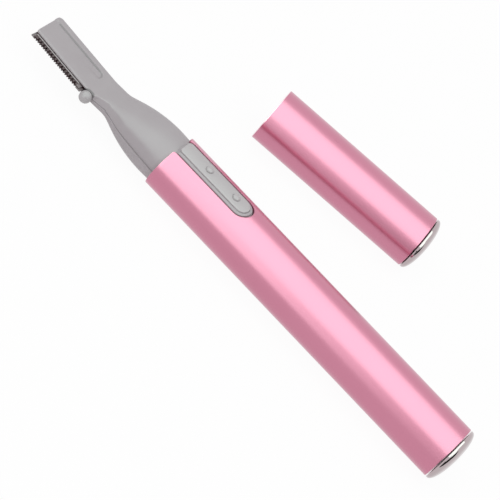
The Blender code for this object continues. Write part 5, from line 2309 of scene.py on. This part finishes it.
@dataclass(frozen=True)
class Power:
    """The battery with its wrap, and the cone spring behind it."""

    cell_front: float = 0.0291
    nub_radius: float = 0.0019
    nub_length: float = 0.0010
    nub_steps: tuple[Pair, ...] = ((0.0, 0.6), (0.00006, 0.9), (0.00022, 1.0))
    radius: float = 0.00525
    length: float = 0.0435
    corner: float = 0.0004
    wrap_lip: float = 0.0009
    lip_rise: float = 0.0001
    lip_share: float = 0.9
    corner_points: int = 7
    bare_edge: float = 0.00005
    points: int = 64
    spring_start: float = 0.07425
    spring_end: float = 0.08175
    wire: float = 0.00035
    narrow: float = 0.0022
    wide: float = 0.0036
    turns: int = 5
    steps: int = 28
    wire_points: int = 10
    crease: float = 60.0

    def turned(self, shop: Workshop, name: str, profile: Sequence[Pair]) -> Piece:
        """Turn a profile about X.

        Args:
            shop: The workshop.
            name: Name of the piece.
            profile: Places along X, each with its radius.

        Returns:
            The new piece.
        """
        rings = []
        for x, radius in profile:
            circle = full_circle(0.0, 0.0, radius, self.points)
            rings.append([Vector((x, y, z)) for y, z in circle])
        return shop.loft(name, rings)

    def build(self, shop: Workshop) -> None:
        """Make the cell and the spring.

        Args:
            shop: The workshop.
        """
        shoulder = self.cell_front + self.nub_length
        end = shoulder + self.length
        corner, count = self.corner, self.corner_points
        rim = self.radius - corner
        profile = [(self.cell_front + step, self.nub_radius * share) for step, share in self.nub_steps]
        profile += [(shoulder, self.nub_radius), (shoulder, rim - self.wrap_lip)]
        profile.append((shoulder + self.lip_rise, rim - self.wrap_lip * self.lip_share))
        profile += arc(shoulder + corner, rim, corner, math.pi, math.pi / 2, count)
        profile += arc(end - corner, rim, corner, math.pi / 2, 0.0, count)
        profile.append((end, rim - self.wrap_lip))
        cell = self.turned(shop, "wrapped_cell", profile)
        shop.hand_over(cell, Body.HOUSING, Slot.CELL, ["battery_cell"])
        self.bare_ends(shop, cell.data, shoulder, end)
        self.spring(shop)

    def bare_ends(self, shop: Workshop, mesh: bpy.types.Mesh, shoulder: float, end: float) -> None:
        """Give the cell's nub and its back bare metal.

        Args:
            shop: The workshop.
            mesh: The cell's mesh, on the frame.
            shoulder: X of the cell's front.
            end: X of its back.
        """
        mesh.materials.append(shop.looks[Slot.MOTOR])
        offset = shop.place.translation.x
        for face in mesh.polygons:
            place = face.center.x - offset
            bare = place < shoulder + self.bare_edge or place > end - self.bare_edge
            face.material_index = 1 if bare else 0

    def spring(self, shop: Workshop) -> None:
        """Make the cone spring as one smooth wire.

        Args:
            shop: The workshop.
        """
        count = self.turns * self.steps
        line = []
        for index in range(count + 1):
            share = index / count
            turn = share * self.turns * math.tau
            radius = self.narrow + (self.wide - self.narrow) * share
            x = self.spring_start + (self.spring_end - self.spring_start) * share
            line.append(Vector((x, radius * math.cos(turn), radius * math.sin(turn))))
        rings = []
        for index, point in enumerate(line):
            ahead = (line[min(index + 1, count)] - line[max(index - 1, 0)]).normalized()
            outward = Vector((0.0, point.y, point.z)).normalized()
            side = ahead.cross(outward).normalized()
            lift = side.cross(ahead)
            ring = []
            for step in range(self.wire_points):
                turn = math.tau * step / self.wire_points
                ring.append(point + (lift * math.cos(turn) + side * math.sin(turn)) * self.wire)
            rings.append(ring)
        piece = shop.loft("cone_spring", rings)
        shop.hand_over(piece, Body.HOUSING, Slot.BLADE, ["negative_spring"], self.crease)


CARRIED: dict[str, Slot] = {
    "handle_end_plug": Slot.WHITE,
    "cap_liner": Slot.WHITE,
    "cap_end_plug": Slot.WHITE,
    "blade_cover": Slot.GREY,
    "drive_rod": Slot.WHITE,
    "drive_lever": Slot.WHITE,
    "lever_pivot": Slot.BLADE,
    "crank": Slot.BRASS,
    "motor_shaft": Slot.BLADE,
    "motor_can": Slot.MOTOR,
    "motor_bearing": Slot.BRASS,
    "motor_end_bell": Slot.BLACK,
    "motor_cushion": Slot.RUBBER,
    "motor_terminal_left": Slot.BRASS,
    "motor_terminal_right": Slot.BRASS,
    "positive_contact": Slot.BRASS,
    "negative_strap": Slot.BRASS,
    "switch_bridge": Slot.BRASS,
}


def dress_carried(nodes: dict[str, Piece], looks: dict[Slot, Look]) -> None:
    """Give each solid of the frame that stays in view its finish.

    Args:
        nodes: The frame's nodes.
        looks: The materials.
    """
    for name, slot in CARRIED.items():
        node = nodes[name]
        node.data.materials.clear()
        node.data.materials.append(looks[slot])
        LOG.info("%s: kept, %s", name, slot.value)


def main() -> None:
    """Build the studio and every sub-assembly in order."""
    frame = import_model()
    sleeve_low, sleeve_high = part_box("handle_sleeve")
    _, housing_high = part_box("lower_housing")
    mouth_x = sleeve_low.x
    PhotoCamera().build(mouth_x)
    Studio().build()
    box = Paintbox()
    looks = {slot: finish.build(box) for slot, finish in FINISHES.items()}
    shop = Workshop(mouth_x, (sleeve_low.z + sleeve_high.z) / 2, looks)
    tube, plate = Tube(), Plate()
    Handle(tube).build(shop, sleeve_high.x - mouth_x)
    Cap(tube).build(shop)
    strip, catch = Strip(tube), Catch(plate)
    head = Head(HeadForm(tube, plate), strip, catch, Drive(plate))
    hollows = head.hollows(shop)
    head.upper(shop, hollows)
    head.lower(shop, hollows, housing_high.x - mouth_x)
    for tool in hollows:
        bpy.data.objects.remove(tool, do_unlink=True)
    # The slide gets the paler, painted-light copy of the grey moulding.
    strip.pad(shop, LIT_SLIDE_FINISH.build(box))
    catch.build(shop)
    Blades(plate).build(shop)
    Power().build(shop)
    dress_carried(frame["nodes"], looks)


if __name__ == "__main__":
    logging.basicConfig(level=logging.INFO, format="%(name)s: %(message)s")
    main()
